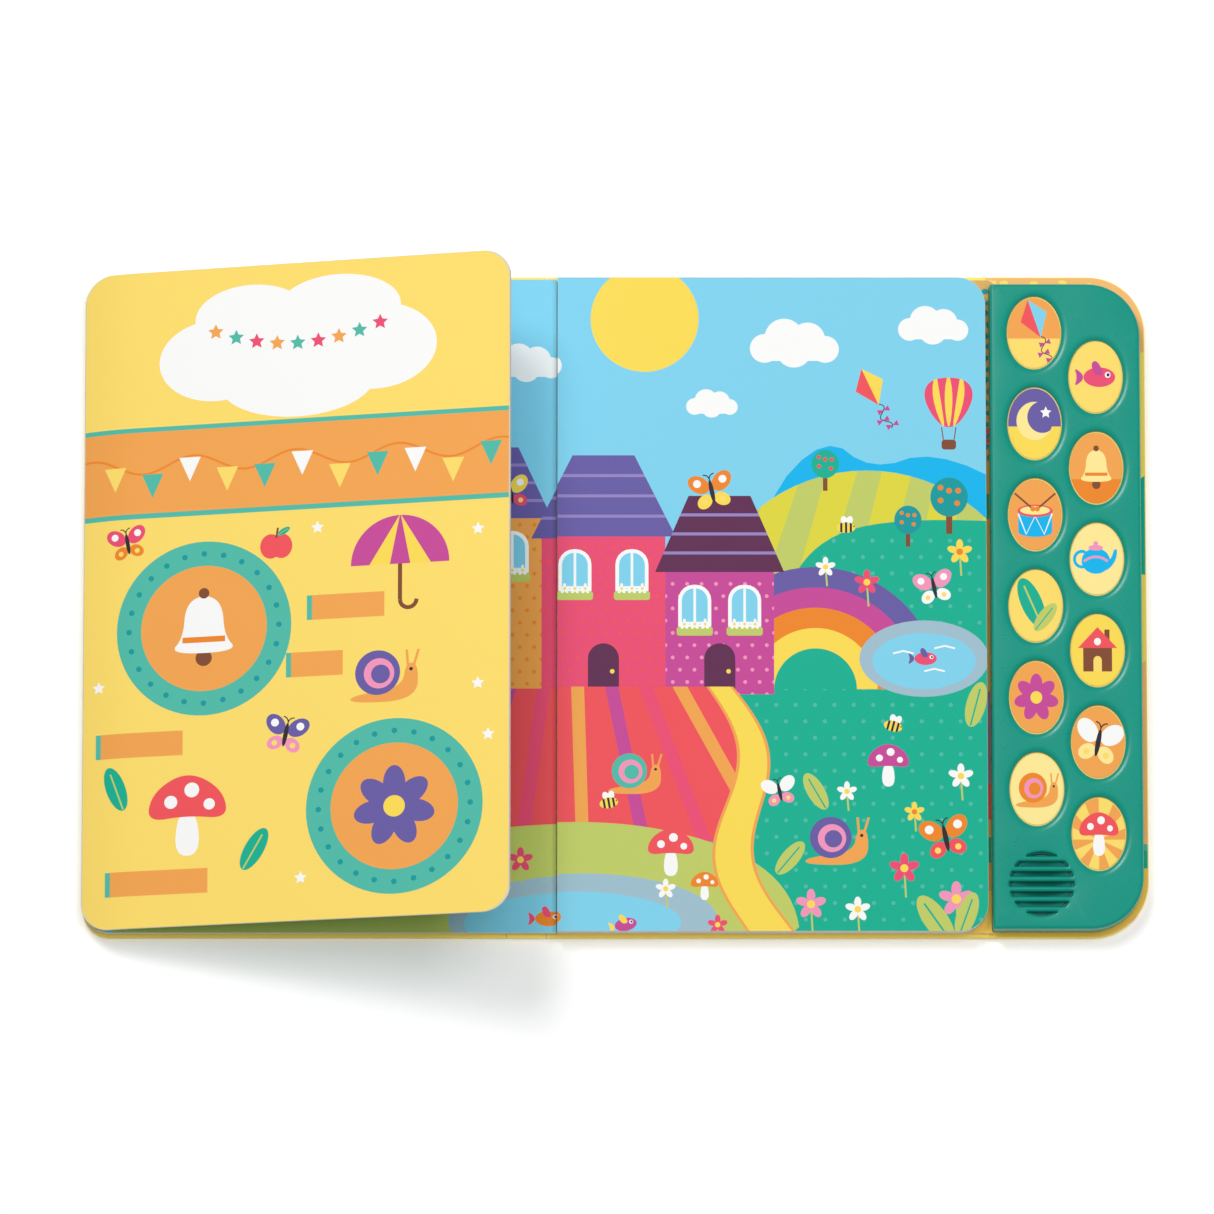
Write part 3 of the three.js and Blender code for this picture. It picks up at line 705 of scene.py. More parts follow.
def spread_picture():
    """A village day out: sky, hills, a row of houses, a rainbow, a meadow and a pond."""
    art = [("sky", box(-190, 175, -135, 135))]
    art += [("sun", circle(34, 112, 21, points=56))]
    for x, y, s in (
        (92, 98, 19), (146, 106, 15), (-12, 92, 15), (-80, 104, 18), (-140, 84, 16), (60, 76, 11),
    ):
        art += moved(cloud(drops=False), x, y, s)
    art += moved(kite(), 122, 84, 9, 25) + moved(kite("violet", "teal_line"), -46, 100, 9, -20)
    art += moved(balloon("pink", "sun"), 152, 74, 14) + moved(balloon("amber", "white"), -110, 98, 15)
    far = soft([(80, 40), (104, 66), (122, 52), (146, 60), (180, 44), (180, 0), (80, 0)], 2)
    art += [("deep", far), hill("grass", 120, -14, 66, 66), hill("lime", -120, -30, 90, 84)]
    slope = circle(120, -14, 66, 66, points=72)
    for k in range(7):
        x = 56 + k * 21
        low = x - 36 + k * 3
        art.append(("lime", np.array([(x, 60), (x + 9, 60), (low + 14, -30), (low, -30)]), slope))
    field = circle(-120, -30, 90, 84, points=72)
    for k in range(8):
        art.append(("grass", stroke(arc(-120, -120, 60 + k * 16, 40, 140, 30), 5), field))
    meadow = soft([(96, 22), (128, 34), (210, 30), (210, -180), (0, -180), (30, -20), (84, -10)])
    art += [("teal", meadow)]
    art += dot_rows("teal_line", 66, 168, -124, 30, 7.5, 0.8, meadow)
    for x, y, s, c in (
        (152, 38, 11, "sea"), (136, 30, 8, "sea"), (104, 52, 8, "teal"), (-160, 44, 12, "teal"),
        (-92, 52, 10, "sea"),
    ):
        art += moved(tree(c, "amber" if c == "sea" else "red"), x, y, s)
    for radius, colour in ((48, "violet"), (40, "magenta"), (32, "amber"), (24, "sun"), (16, "teal")):
        art.append((colour, arc(100, -34, radius, 0, 180, 40)))
    houses = (
        (-48, -6, -36, 34, "orange", "violet", 62, "amber"),
        (-6, 42, -36, 26, "pink", "violet", 58, "red"),
        (42, 84, -36, 12, "magenta", "plum", 42, "rose"),
    )
    for x0, x1, y0, y1, wall, roof, top, spot in houses:
        front = box(x0, x1, y0, y1)
        art.append((wall, front))
        art += dot_rows(spot, x0, x1, y0, y1, 5.6, 0.75, front)
        gable = np.array([(x0 - 4, y1), ((x0 + x1) / 2 - 12, top), ((x0 + x1) / 2 + 12, top), (x1 + 4, y1)])
        art.append((roof, gable))
        for k in range(1, 4):
            y = y1 + (top - y1) * k / 4
            art.append(("lilac", box(x0 - 10, x1 + 10, y - 0.6, y + 0.6), gable))
        for k in (0.27, 0.73):
            x = x0 + (x1 - x0) * k
            art.append(("white", rounded(x - 6.4, x + 6.4, y1 - 22, y1 - 5, [1, 1, 6, 6], 6)))
            art.append(("sky", rounded(x - 5, x + 5, y1 - 20.6, y1 - 6.4, [0.6, 0.6, 4.8, 4.8], 6)))
            art.append(("white", box(x - 0.5, x + 0.5, y1 - 21, y1 - 6)))
            art.append(("lime", rounded(x - 7, x + 7, y1 - 25, y1 - 21.5, [1] * 4, 4)))
            for j in (-4, 0, 4):
                art += moved(flower("white", "sun"), x + j, y1 - 20.5, 2.2)
        door = (x0 + x1) / 2
        arch = np.concatenate([[(door - 6, y0), (door + 6, y0)], arc(door, y0 + 14, 6, 0, 180, 16)])
        art.append(("plum", arch))
        art.append(("sun", circle(door + 3.4, y0 + 9, 0.9, points=14)))
    beds = np.array([(-190, -33), (66, -33), (76, -60), (76, -94), (-190, -88)])
    art.append(("red", beds))
    for k in range(15):
        near, far = -230 + 24 * k, -122 + 13 * k
        art.append((("pink", "orange", "magenta")[k % 3], stroke([(far, -32), (near, -96)], 5), beds))
    bank = [(-190, -80), (-60, -92), (10, -84), (60, -92), (90, -110), (96, -140), (-190, -140)]
    art.append(("lime", soft(bank)))
    t = np.linspace(0, 1, 40)
    middle = np.stack([63 + 20 * t + 8 * np.sin(7 * t), -33 - 104 * t], 1)
    for colour, extra in (("orange", 2.4), ("sun", 0)):
        reach = np.stack([4 + 4.5 * t + extra / 2, 0 * t], 1)
        art.append((colour, np.concatenate([middle - reach, (middle + reach)[::-1]])))
    art += [("pond", circle(10, -124, 52, 18)), ("sky", circle(6, -125, 42, 12))]
    art += moved(fish(), -4, -123, 7) + moved(fish("magenta", "sun"), 26, -126, 6, 12)
    art += [("pond", circle(142, -22, 25, 15)), ("sky", circle(142, -23, 20, 11))]
    for x, y in ((134, -20), (146, -27), (150, -18)):
        art.append(("white", stroke([(x - 4, y), (x, y + 1), (x + 4, y)], 0.7)))
    art += moved(fish("pink", "violet"), 142, -22, 6)
    for x, y, s, c in (
        (44, -98, 10, "red"), (57, -111, 6, "amber"), (128, -64, 9, "magenta"), (-40, -108, 11, "red"),
        (-150, -100, 12, "amber"),
    ):
        art += moved(toadstool(c), x, y, s)
    for x, y, s, c in ((108, -92, 13, "violet"), (-96, -100, 13, "magenta"), (30, -66, 11, "teal_line")):
        art += moved(snail(c), x, y, s)
    for x, y, s, a, b in (
        (60, 44, 9, "amber", "sun"), (146, 6, 8, "rose", "white"), (-18, 44, 8, "sun", "pink"),
        (150, -92, 10, "amber", "red"), (-130, 12, 10, "pink", "violet"), (86, -74, 7, "white", "rose"),
    ):
        art += moved(butterfly(a, b), x, y, s, 12)
    for x, y, s, c in (
        (98, -118, 6, "rose"), (116, -120, 5, "white"), (134, -104, 6, "pink"), (154, -116, 7, "rose"),
        (156, -68, 5, "white"), (120, 8, 5, "pink"), (156, 20, 5, "sun"), (42, -112, 4, "white"),
        (-14, -100, 5, "pink"), (-70, -116, 6, "rose"), (-120, -118, 6, "white"), (138, -82, 4, "sun"),
        (112, -74, 4, "white"), (-160, -64, 6, "sun"), (62, -126, 4, "pink"), (104, 14, 4, "white"),
    ):
        art.append(("lime", stroke([(x, y), (x + 0.6, y - s * 1.9)], 0.7)))
        art += moved(flower(c, "sun" if c != "sun" else "amber"), x, y, s)
    for x, y, s, a in (
        (146, -124, 11, 35), (158, -122, 9, -20), (90, -100, 8, -40), (100, -74, 8, 30),
        (162, -40, 9, -15), (-176, -112, 12, 20),
    ):
        art += moved(leaf("lime", "teal"), x, y, s, a)
    art += moved(bee(), 112, 30, 5) + moved(bee(), 20, -78, 5, 10) + moved(bee(), 130, -48, 5, -15)
    return art


picture = spread_picture()
inset = 0.08
page_fore = 166.4
right_outline = rounded(
    page_low[0] + 0.02, page_fore - inset, page_low[1] + inset, page_high[1] - inset,
    [0, page_corner, page_corner, 0], 16,
)
right_print = print_sheet("right_page_print", right_outline, picture, flat(page_high[2]), "back")

last_leaf_top = 4.3
last_outline = rounded(
    155, page_high[0] - inset, page_low[1] + inset, page_high[1] - inset, [0, 3.8, 3.8, 0], 16
)
# The last leaf's ground is yellow darkened as painted shade, for the narrow strip between the pages and the
# module; the patches and spots on it are print.
last_art = [
    ("ochre", box(150, 176, -140, 140)),
    ("mauve", box(150, 176, -70, -34)),
    ("red", box(150, 176, -84, -70)),
    ("teal", box(150, 176, -101, -91)),
    ("border_gold", box(150, 176, -140, -112)),
    ("red", box(150, 176, 64, 70)),
    ("teal", box(150, 176, 34, 44)),
]
for k in range(16):
    last_art.append(("sea", circle(166.6 + 1.4 * (k % 2), 124 - 4.4 * k, 1.5, 1.1, 30 * k, 20)))
leaf_fore = rounded(150, 166.6, page_low[1] - clear, page_high[1] + clear, [0, 11.1, 11.1, 0], 16)
gap = 0.32
notch = rounded(
    module_low[0] - gap, module_high[0], module_low[1] - gap, module_high[1] + gap, [0.9, 1, 1, 0.9], 8
)
last_art += [("hole", leaf_fore), ("hole", notch)]
last_print = print_sheet("last_leaf_print", last_outline, last_art, flat(last_leaf_top), "back")


# Left pages. The folded leaf is one sheet of card: a flat panel that the picture runs over,
# and a lift flap that stands half open about the fold at its outer edge.
turned_low, turned_high = extent("turned_pages")
leaf_low, leaf_high = extent("folded_leaf")
leaf_thick = 1.45
fold_x = float(leaf_low[0])
panel_top = float(turned_high[2]) + leaf_thick
fold_radius = 2.4
flap_length, flap_slope, root_slope, bend_length, bend_steps = 175.0, 17.9, 33.0, 27.0, 14
half = float(leaf_high[1])

left_outline = rounded(
    fold_x + 2 * fold_radius, page_low[0] * -1 - 0.02, -half + inset, half - inset, [7.2, 0, 0, 7.2], 14
)
left_print = print_sheet("left_page_print", left_outline, picture, flat(panel_top), "left_pages")


def facing_down(height):
    """A level face at that height, seen from beneath."""
    return lambda x, y: (np.full(len(x), float(height)), np.zeros(len(x)), -np.ones(len(x)))


title_outline = rounded(
    turned_low[0] + inset, turned_high[0] - 0.02, turned_low[1] + inset, turned_high[1] - inset,
    [page_corner, 0, 0, page_corner], 14,
)
title_hill = soft([(-190, -30), (-90, 0), (20, -30), (20, -180), (-190, -180)])
title_art = [("sky", box(-190, 0, -135, 135)), ("teal", title_hill)]
title_art += dot_rows("teal_line", -180, -4, -124, -20, 8, 0.8, title_hill)
title_art += moved(cloud(drops=False), -130, 80, 22) + moved(cloud(drops=False), -50, 96, 16)
title_art += moved(tree("lime", "red"), -120, 0, 22) + moved(cottage("red", "violet"), -60, -6, 24)
title_print = print_sheet(
    "title_page_print", title_outline, title_art, facing_down(turned_low[2]), "left_pages"
)


def flap_lines():
    """The flap's two faces in section: a line whose slope eases from the fold's to the
    flap's over the bend, and the same line one card thickness above it."""
    near = bend_length / (bend_steps - 2)
    steps = np.array([near] * (bend_steps - 2) + [(flap_length - bend_length) / 2] * 2)
    done = np.concatenate([[0], np.cumsum(steps)[:-1]])
    along = np.minimum(1, (done + steps / 2) / bend_length)
    slope = np.radians(flap_slope + (root_slope - flap_slope) * (1 + np.cos(math.pi * along)) / 2)
    x = fold_x + 0.9 + np.concatenate([[0], np.cumsum(steps * np.cos(slope))])
    z = panel_top + 0.35 + np.concatenate([[0], np.cumsum(steps * np.sin(slope))])
    low = np.stack([x, z], 1)
    reach = np.concatenate([low[1:2] - low[0:1], low[2:] - low[:-2], low[-1:] - low[-2:-1]])
    reach /= np.linalg.norm(reach, axis=1)[:, None]
    high = low + np.stack([-reach[:, 1], reach[:, 0]], 1) * leaf_thick
    return low, high


flap_low, flap_high = flap_lines()
fold_start = [[fold_x, panel_top + 0.7], [fold_x + 0.35, panel_top + 1.6]]
flap_top_line = np.concatenate([fold_start, flap_high[1:]])
flap_under_line = np.concatenate([[[fold_x + fold_radius, panel_top]], flap_low[1:]])


def on_line(line, sign):
    """The height and normal of a face that follows a section line, by its X."""
    step = np.diff(line, axis=0)
    step /= np.linalg.norm(step, axis=1)[:, None]
    normal = np.concatenate([step[:1], (step[1:] + step[:-1]) / 2, step[-1:]])

    def lift(x, y):
        z = np.interp(x, line[:, 0], line[:, 1])
        nx = np.interp(x, line[:, 0], -normal[:, 1]) * sign
        nz = np.interp(x, line[:, 0], normal[:, 0]) * sign
        return z, nx, nz

    return lift


def tab(x, y, width):
    """A blank label: an orange bar with a teal end."""
    return [("teal_line", box(x, x + 2, y, y + 9.6)), ("orange", box(x + 2, x + width, y, y + 9.6))]


def flap_front():
    """Yellow ground, a white plaque, a lined band, two rings and small pictures."""
    art = [("yellow", box(-190, 0, -135, 135))]
    for x, y, rx, ry in (
        (-100, 96, 44, 20), (-132, 92, 22, 16), (-70, 94, 24, 17), (-118, 108, 22, 13),
        (-84, 110, 24, 13), (-100, 82, 30, 14),
    ):
        art.append(("white", circle(x, y, rx, ry, points=48)))
    for k in range(9):
        x = -132 + k * 8
        y = 97 + 0.006 * (x + 100) ** 2
        art += moved(star(("orange", "teal_line", "pink")[k % 3]), x, y, 3.2)
    art.append(("orange", box(-190, 0, 32.6, 66.2)))
    art += [("teal_line", box(-190, 0, 31.4, 33.4)), ("teal_line", box(-190, 0, 65.4, 67.2))]
    wave = np.stack([np.linspace(-190, 0, 90), 52 + 3.2 * np.sin(np.linspace(0, 30, 90))], 1)
    art.append(("amber", stroke(wave, 0.8)))
    for k in range(11):
        x = -171 + k * 14.6
        y = 52 + 3.2 * math.sin(30 * (x + 190) / 190) - 4
        pennant = np.array([(x - 4.2, y + 3.4), (x + 4.2, y + 3.4), (x, y - 6)])
        art.append((("yellow", "teal_line", "white")[k % 3], pennant))
    for x, y, motif in ((-136, -13, "bell"), (-62, -86, "flower")):
        art += [("teal_line", circle(x, y, 34, points=72)), ("orange", circle(x, y, 24.5, points=64))]
        for k in range(24):
            a = math.radians(k * 15)
            art.append(("sea", circle(x + 29.2 * math.cos(a), y + 29.2 * math.sin(a), 1.1, points=12)))
        shown = bell("white") if motif == "bell" else flower("violet", "sun", 7)
        art += moved(shown, x, y, 16)
    art += moved(umbrella("magenta", "sun"), -60, 8, 20)
    art += moved(toadstool("red"), -142, -86, 17)
    art += moved(snail("violet"), -66, -34, 14)
    art += moved(butterfly("pink", "amber"), -166, 22, 8, 10)
    art += moved(butterfly("violet", "rose"), -104, -56, 9, -12)
    art += moved(leaf("teal", "lime"), -170, -74, 9, 20) + moved(leaf("teal", "lime"), -116, -100, 9, -30)
    art += moved(apple("red"), -108, 18, 8)
    art += tab(-96, -12, 30) + tab(-178, -62, 34) + tab(-104, -34, 22) + tab(-174, -116, 40)
    for x, y in ((-30, 20), (-92, 24), (-30, -40), (-98, -112), (-177, -34), (-26, -60)):
        art += moved(star("white"), x, y, 2.6)
    return art


def flap_outline(x0, x1):
    """The flap's outline with its round corners, between two ends along X."""
    return rounded(x0, x1, -half + clear, half - clear, [page_corner] * 4, 16)


def stations(line, x0, x1):
    """Cuts across the sheet at every point of the section line, so that it can bend there."""
    return [((x, -half), (x, half)) for x in line[:, 0] if x0 < x < x1]


front_outline = flap_outline(fold_x + 0.4, flap_high[-1, 0] - 0.35)
flap_print = print_sheet(
    "flap_front_print", front_outline, flap_front(), on_line(flap_top_line, 1), "left_pages",
    stations(flap_top_line, fold_x + 0.5, flap_high[-1, 0] - 1),
)


def flap_inside():
    """The flap's inner side: more of the hills and sky, mirrored as the flap folds over."""
    slope = soft([(-190, 20), (-90, 44), (0, 16), (0, -140), (-190, -140)])
    art = [("sky", box(-190, 0, -135, 135)), ("teal", slope)]
    art += dot_rows("teal_line", -180, -20, -124, 24, 8, 0.8)
    for x, y, s in ((-130, 96, 20), (-60, 104, 16)):
        art += moved(cloud(), x, y, s)
    art += moved(tree("lime", "red"), -140, 44, 22) + moved(tree("lime", "amber"), -60, 36, 18)
    for x, y, c in (
        (-150, -30, "rose"), (-110, -60, "sun"), (-70, -40, "white"), (-50, -96, "pink"),
        (-130, -104, "rose"),
    ):
        art += moved(flower(c, "amber"), x, y, 11)
    return art


inner_outline = rounded(
    flap_low[1, 0] + 0.4, flap_low[-1, 0] - 0.6, -half + 0.4, half - 0.4, [9, 10.6, 10.6, 9], 16
)
inner_print = print_sheet(
    "flap_inside_print", inner_outline, flap_inside(), on_line(flap_under_line, -1), "left_pages",
    stations(flap_under_line, flap_low[1, 0] + 0.5, flap_low[-1, 0] - 1),
)


# Module front shell. One moulding in teal plastic with a fine satin texture: edges rounded
# over, twelve oval windows with rolled rims, and a round field of slots over the speaker.
def moulded(name, colour, shade, roughness, depth=0.01):
    """Moulded plastic: spark-eroded texture, faint flow marks, and a gloss that changes in random patches.
    """
    finish = Finish(name)
    texture = finish.noise(0.22, 3, 0.6)
    flow = finish.noise(30, 3, 0.5)
    rub = finish.noise(6, 5, 0.7)
    speck = finish.noise(0.7, 1, 0.4) > 0.76
    colour = finish.blend(flow * 0.5 + speck * 0.35, colour, shade)
    return finish.surface(
        Base_Color=colour,
        Roughness=roughness - 0.06 + rub * 0.14,
        Normal=finish.bump(texture, depth),
    )


teal_plastic = moulded("teal_plastic", ink(2, 153, 133), ink(0, 136, 118), 0.28)
shell_top = float(module_high[2])
skin = 1.5
wall = 1.4
window_wide, window_tall = 21.2, 28.9
button_names = [f"button_{i:02d}" for i in range(1, 13)]
button_spots = [tuple((np.array(extent(n)[0]) + extent(n)[1])[:2] / 2) for n in button_names]
grille_low, grille_high = extent("speaker_gasket")
grille = (grille_low + grille_high)[:2] / 2
grille_radius, rib_count, rib_pitch, rib_wide = 12.4, 6, 3.93, 2.1


def dense(outline, spacing):
    """The same outline with points added so that none are farther apart than the spacing."""
    after = np.roll(outline, -1, 0)
    parts = []
    for a, b in zip(outline, after):
        count = max(1, int(math.ceil(np.linalg.norm(b - a) / spacing)))
        parts.append(a + (b - a) * (np.arange(count) / count)[:, None])
    return np.concatenate(parts)


def offset(outline, distance):
    """The outline moved outwards along its normals."""
    along = np.roll(outline, -1, 0) - np.roll(outline, 1, 0)
    along /= np.linalg.norm(along, axis=1)[:, None]
    return outline + np.stack([along[:, 1], -along[:, 0]], 1) * distance


def contours(outline, width, depth, direction, steps=5):
    """Copies of an edge's outline, each with the height of a quarter-oval edge there."""
    made = []
    for angle in np.radians(np.linspace(0, 90, steps)):
        away = width * (1 - math.cos(angle)) * direction
        drop = depth * (1 - math.sin(angle))
        made.append((offset(outline, away), shell_top - drop))
    return made


def front_shell():
    """The top face is cut along contour lines round every edge, each at the height that the
    quarter-round edge has there; walls join it to the flat undersides."""
    rim = rounded(
        module_low[0], module_high[0], module_low[1], module_high[1],
        [0.9, module_corner, module_corner, 0.9], 20,
    )
    rim = dense(rim, 3)
    rings = contours(rim, 1.4, 1.3, -1)
    windows = [circle(x, y, window_wide / 2, window_tall / 2, points=72) for x, y in button_spots]
    for window in windows:
        rings += contours(window, 2.8, 1.35, 1, 8)
    slots = []
    x, y = grille
    levels = [-grille_radius]
    for i in range(rib_count):
        middle_of_rib = (i - (rib_count - 1) / 2) * rib_pitch
        levels += [middle_of_rib - rib_wide / 2, middle_of_rib + rib_wide / 2]
    levels.append(grille_radius)
    for low, high in zip(levels[::2], levels[1::2]):
        low_angle = math.degrees(math.asin(max(-1, low / grille_radius)))
        high_angle = math.degrees(math.asin(min(1, high / grille_radius)))
        right = arc(x, y, grille_radius, low_angle, high_angle, 14)
        left = arc(x, y, grille_radius, 180 - high_angle, 180 - low_angle, 14)
        slot = dense(np.concatenate([right, left]), 1.2)
        slot = slot[np.linalg.norm(slot - np.roll(slot, 1, 0), axis=1) > 0.02]
        slots.append(slot)
        rings += contours(slot, 1.0, 1.2, 1, 5)
    inner = rounded(
        module_low[0] + wall, module_high[0] - wall, module_low[1] + wall, module_high[1] - wall,
        [0.2, module_corner - wall, module_corner - wall, 0.2], 20,
    )
    rings.append((inner, shell_top))
    points = [tuple(p) for loop, _ in rings for p in loop.tolist()]
    heights = np.concatenate([np.full(len(loop), z) for loop, z in rings])
    edges, start = [], 0
    for loop, _ in rings:
        edges += [(start + i, start + (i + 1) % len(loop)) for i in range(len(loop))]
        start += len(loop)
    made = delaunay_2d_cdt(points, edges, [], 0, 1e-5, True)
    flat_places = np.array([tuple(v) for v in made[0]])
    heights = np.array([heights[ids[0]] if len(ids) else shell_top for ids in made[3]])
    triangles = np.array(made[2])
    shape = flat_places[triangles]
    area = np.cross(shape[:, 1] - shape[:, 0], shape[:, 2] - shape[:, 0])
    triangles[area < 0] = triangles[area < 0][:, ::-1]
    middle = shape.mean(1)
    kept = inside(middle, rim)
    for hole in windows + slots:
        kept &= ~inside(middle, hole)
    triangles, middle = triangles[kept], middle[kept]
    hollow = inside(middle, inner)
    count = len(flat_places)
    top = np.column_stack([flat_places, heights])
    ceiling = np.column_stack([flat_places, np.full(count, shell_top - skin)])
    base = np.column_stack([flat_places, np.full(count, float(module_low[2]))])
    places = np.concatenate([top, ceiling, base])
    under = triangles[hollow][:, ::-1] + count
    foot = triangles[~hollow][:, ::-1] + 2 * count

    def wall_faces(edges, high, low):
        a, b = edges[:, 0], edges[:, 1]
        return np.stack([a + low, b + low, b + high, a + high], 1)

    border_edges = rim_edges(triangles)
    hollow_edges = rim_edges(triangles[hollow])
    known = {tuple(e) for e in border_edges.tolist()}
    is_hole = np.array([tuple(e) in known for e in hollow_edges.tolist()])
    holes = hollow_edges[is_hole]
    lip = hollow_edges[~is_hole]
    hole_set = {tuple(e) for e in holes.tolist()}
    outside = np.array([e for e in border_edges.tolist() if tuple(e) not in hole_set])
    faces = [
        triangles,
        under,
        foot,
        wall_faces(outside, 0, 2 * count),
        wall_faces(holes, 0, count),
        wall_faces(lip, count, 2 * count),
    ]
    indices = [np.zeros(len(f), int) for f in faces]
    return new_piece("module_front_shell_skin", places, faces, [teal_plastic], indices, "back", 50)


shell = front_shell()
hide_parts("module_front_shell")


# Buttons. Twelve oval caps of glossy plastic in the windows, each with a printed oval of
# its own glued on top; they sit a little below the shell and press down.
cap_plastic = moulded("cap_plastic", ink(252, 226, 130), ink(240, 206, 104), 0.3, 0.006)


def rays(first, second):
    """Wedges of two colours from a point low on the button."""
    layers = [(first, box(-1.3, 1.3, -1.6, 1.6))]
    for k in range(8):
        a, b = math.radians(k * 45), math.radians(k * 45 + 22)
        ends = [(3 * math.cos(t), -0.2 + 3 * math.sin(t)) for t in (a, b)]
        layers.append((second, np.array([(0, -0.2)] + ends)))
    return layers


def ground(first, second=None, level=0.0):
    """A plain ground, or one colour above another."""
    layers = [(first, box(-1.3, 1.3, -1.6, 1.6))]
    if second:
        layers.append((second, box(-1.3, 1.3, -1.6, level)))
    return layers


faces_of_buttons = [
    ground("orange", "yellow", -0.2) + moved(kite("red", "sky"), 0.05, 0.42, 0.82, 20),
    ground("violet", "sun", -0.1) + moved(moon(), 0, 0.1, 0.86),
    ground("orange") + moved(drum(), 0, -0.05, 0.86),
    ground("yellow")
    + moved(leaf("teal", "lime"), -0.16, 0.12, 0.95, 25)
    + moved(leaf("lime", "teal"), 0.36, -0.4, 0.62, -40),
    ground("orange") + moved(flower("magenta", "sun", 7), 0, 0, 0.86),
    ground("pale") + moved(snail("amber"), 0, 0.05, 0.86),
    ground("yellow") + moved(fish("pink", "magenta"), 0.06, 0, 0.84),
    ground("orange", "amber", -0.4) + moved(bell("pale"), 0, 0, 0.82),
    ground("pale") + moved(teapot("deep"), -0.04, 0, 0.82),
    ground("sun") + moved(cottage("brown", "red"), 0, 0, 0.88),
    ground("orange") + moved(butterfly("white", "pale"), 0, 0, 0.95, -12),
    rays("yellow", "orange") + moved(toadstool("red"), 0, -0.02, 0.84),
]
cap_fit = 0.35
print_rx = window_wide / 2 - cap_fit - 0.06
print_ry = print_rx * window_tall / window_wide
cap_top = float(extent("button_01")[1][2])
for name, (x, y), art in zip(button_names, button_spots, faces_of_buttons):
    dress(name, cap_plastic)
    spread = np.array([print_rx, print_rx * 1.08])
    placed = [(layer[0],) + tuple(loop * spread + [x, y] for loop in layer[1:]) for layer in art]
    outline = circle(x, y, print_rx, print_ry, points=64)
    face = print_sheet(name + "_print", outline, placed, flat(cap_top), name)


# Back shell and battery door. Moulded in a darker teal; the well reaches through the back
# cover's window, and one screw keeps the door on it.
dark_plastic = moulded("dark_teal_plastic", ink(18, 128, 111), ink(12, 110, 96), 0.5, 0.02)
for node in ("module_back_shell", "battery_door"):
    dress(node, dark_plastic)


# Inside the module. Nickel-plated cells, strips and screw, the speaker's pressed frame and
# magnet, its paper cone and foam ring, the rubber dome mat, and the board with its parts.
def metal(name, colour, roughness, brush):
    """Plated steel: brush lines along X, small stains, and a gloss that follows both."""
    finish = Finish(name)
    lines = finish.noise(0.25, 4, 0.6, (brush, 1, 1))
    stain = finish.noise(4, 4, 0.6)
    dark = tuple(c * 0.7 for c in colour[:3]) + (1.0,)
    return finish.surface(
        Base_Color=finish.blend(stain * 0.4, colour, dark),
        Metallic=1.0,
        Roughness=roughness + lines * 0.14 + stain * 0.08,
        Normal=finish.bump(lines, 0.008),
    )


def matt(name, colour, roughness, size, depth):
    """A dull material with a grain of that size: rubber, foam, paper pulp or laminate."""
    finish = Finish(name)
    grain = finish.noise(size, 4, 0.6)
    patch = finish.noise(size * 20, 3, 0.5)
    pale = tuple(min(1, c * 1.35 + 0.01) for c in colour[:3]) + (1.0,)
    return finish.surface(
        Base_Color=finish.blend(patch * 0.6, colour, pale),
        Roughness=roughness - 0.05 + patch * 0.12,
        Normal=finish.bump(grain, depth),
    )


inner_finishes = [
    (
        metal("cell_steel", ink(206, 206, 203), 0.24, 1),
        "cell_steel",
        ("battery_1", "battery_2", "battery_3"),
    ),
    (
        metal("contact_steel", ink(190, 190, 187), 0.28, 30),
        "contact_steel",
        ("contact_bridge_head", "contact_minus", "contact_bridge_tail", "contact_plus"),
    ),
    (metal("screw_steel", ink(156, 156, 153), 0.32, 1), "screw_steel", ("battery_door_screw",)),
    (
        metal("speaker_steel", ink(143, 145, 147), 0.36, 1),
        "speaker_steel",
        ("speaker_frame", "speaker_magnet"),
    ),
    # The cone and the foam ring are dark teal as painted shade: they stand in for the shaded green seen
    # down the grille's slots.
    (matt("speaker_paper", ink(8, 104, 92), 0.85, 0.4, 0.05), "speaker_paper", ("speaker_cone",)),
    (matt("gasket_foam", ink(12, 104, 92), 0.92, 0.5, 0.12), "gasket_foam", ("speaker_gasket",)),
    (matt("dome_rubber", ink(141, 143, 146), 0.75, 0.3, 0.02), "dome_rubber", ("dome_mat",)),
    (matt("circuit_laminate", ink(63, 107, 58), 0.5, 0.5, 0.02), "circuit_laminate", ("circuit_board",)),
    (matt("black_resin", ink(29, 29, 31), 0.4, 1.5, 0.05), "black_resin", ("sound_chip",)),
    (
        matt("capacitor_ceramic", ink(169, 139, 92), 0.6, 0.3, 0.02),
        "capacitor_ceramic",
        ("board_capacitor",),
    ),
    (matt("red_wire", ink(194, 42, 42), 0.42, 0.4, 0.01), "red_wire", ("speaker_wire_red",)),
    (matt("black_wire", ink(34, 34, 36), 0.42, 0.4, 0.01), "black_wire", ("speaker_wire_black",)),
]
for finish_made, slot_name, nodes in inner_finishes:
    for node in nodes:
        dress(node, finish_made)


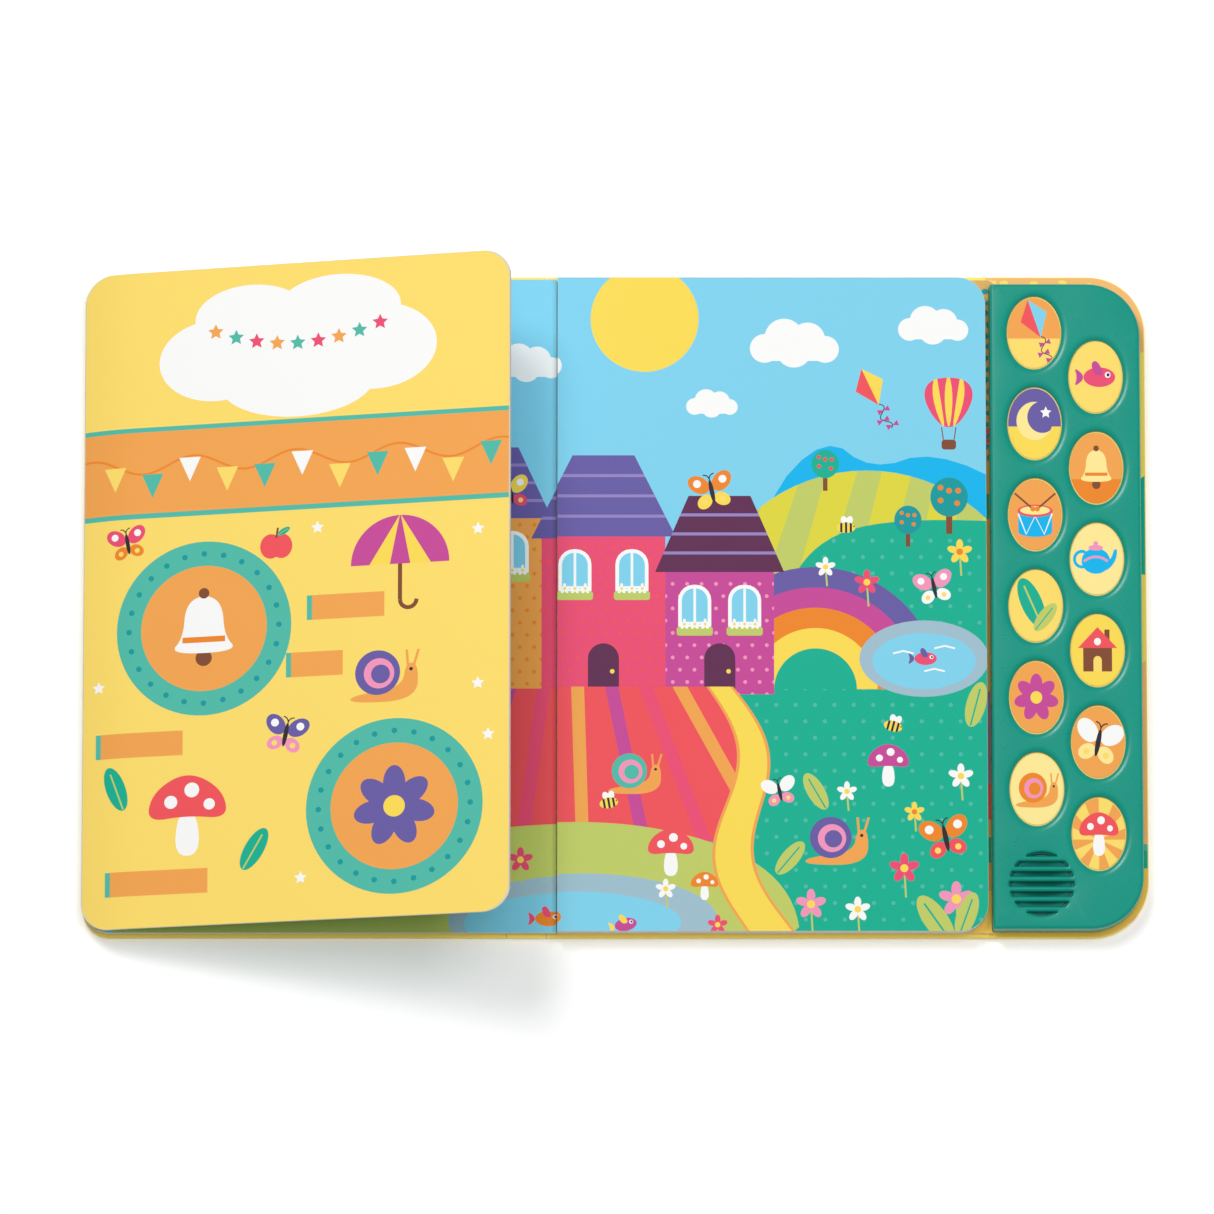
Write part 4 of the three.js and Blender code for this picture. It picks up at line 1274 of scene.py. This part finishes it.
# Studio. A white table under a broad overhead light a little to the right, which is kept out
# of reflections as in the copying of artwork, a softbox from the upper left, and the camera
# almost straight above.
def table():
    """A large matt white sheet just under the book, which glows a little so it stays white."""
    mesh = bpy.data.meshes.new("table")
    level = -0.02 * MM
    mesh.from_pydata([(-6, -6, level), (6, -6, level), (6, 6, level), (-6, 6, level)], [], [(0, 1, 2, 3)])
    finish = Finish("table_white")
    glow = {"Emission_Color": (1.0, 1.0, 1.0, 1), "Emission_Strength": 0.1}
    white = finish.surface(Base_Color=(1.0, 1.0, 1.0, 1), Roughness=0.95, **glow)
    mesh.materials.append(white)
    floor = bpy.data.objects.new("table", mesh)
    bpy.context.collection.objects.link(floor)


def softbox(name, place, aim, size, power):
    """A rectangular area light, turned to face the aim."""
    lamp = bpy.data.lights.new(name, "AREA")
    lamp.shape = "RECTANGLE"
    lamp.size, lamp.size_y = size
    lamp.energy = power
    holder = bpy.data.objects.new(name, lamp)
    holder.location = place
    towards = np.array(aim) - np.array(place)
    yaw = math.atan2(towards[1], towards[0])
    pitch = math.atan2(math.hypot(towards[0], towards[1]), -towards[2])
    holder.rotation_euler = (pitch, 0, yaw - math.pi / 2)
    bpy.context.collection.objects.link(holder)
    return holder


table()
softbox("overhead_light", (0.6, 0.1, 2.9), (0, 0, 0), (1.8, 1.8), 47).visible_glossy = False
softbox("side_light", (-0.75, 1.25, 2.45), (0, 0, 0), (0.8, 0.8), 31)
world = bpy.data.worlds.new("studio")
world.use_nodes = True
world.node_tree.nodes["Background"].inputs["Color"].default_value = (1, 1, 1, 1)
world.node_tree.nodes["Background"].inputs["Strength"].default_value = 0.21
bpy.context.scene.world = world
bpy.context.scene.view_settings.view_transform = "Standard"

pixels = 1214
photo_scale = 0.3877 * MM
camera_elevation = math.radians(80)
camera_distance = 4.45
look_at = np.array([50 * photo_scale, -0.0004, 0.0025])
camera_data = bpy.data.cameras.new("camera")
camera_data.sensor_width = 36
camera_data.lens = 36 * camera_distance / (pixels * photo_scale)
camera_data.clip_end = 50
camera = bpy.data.objects.new("camera", camera_data)
back_off = np.array([0, -math.cos(camera_elevation), math.sin(camera_elevation)])
camera.location = look_at + back_off * camera_distance
camera.rotation_euler = (math.pi / 2 - camera_elevation, 0, 0)
bpy.context.collection.objects.link(camera)
bpy.context.scene.camera = camera
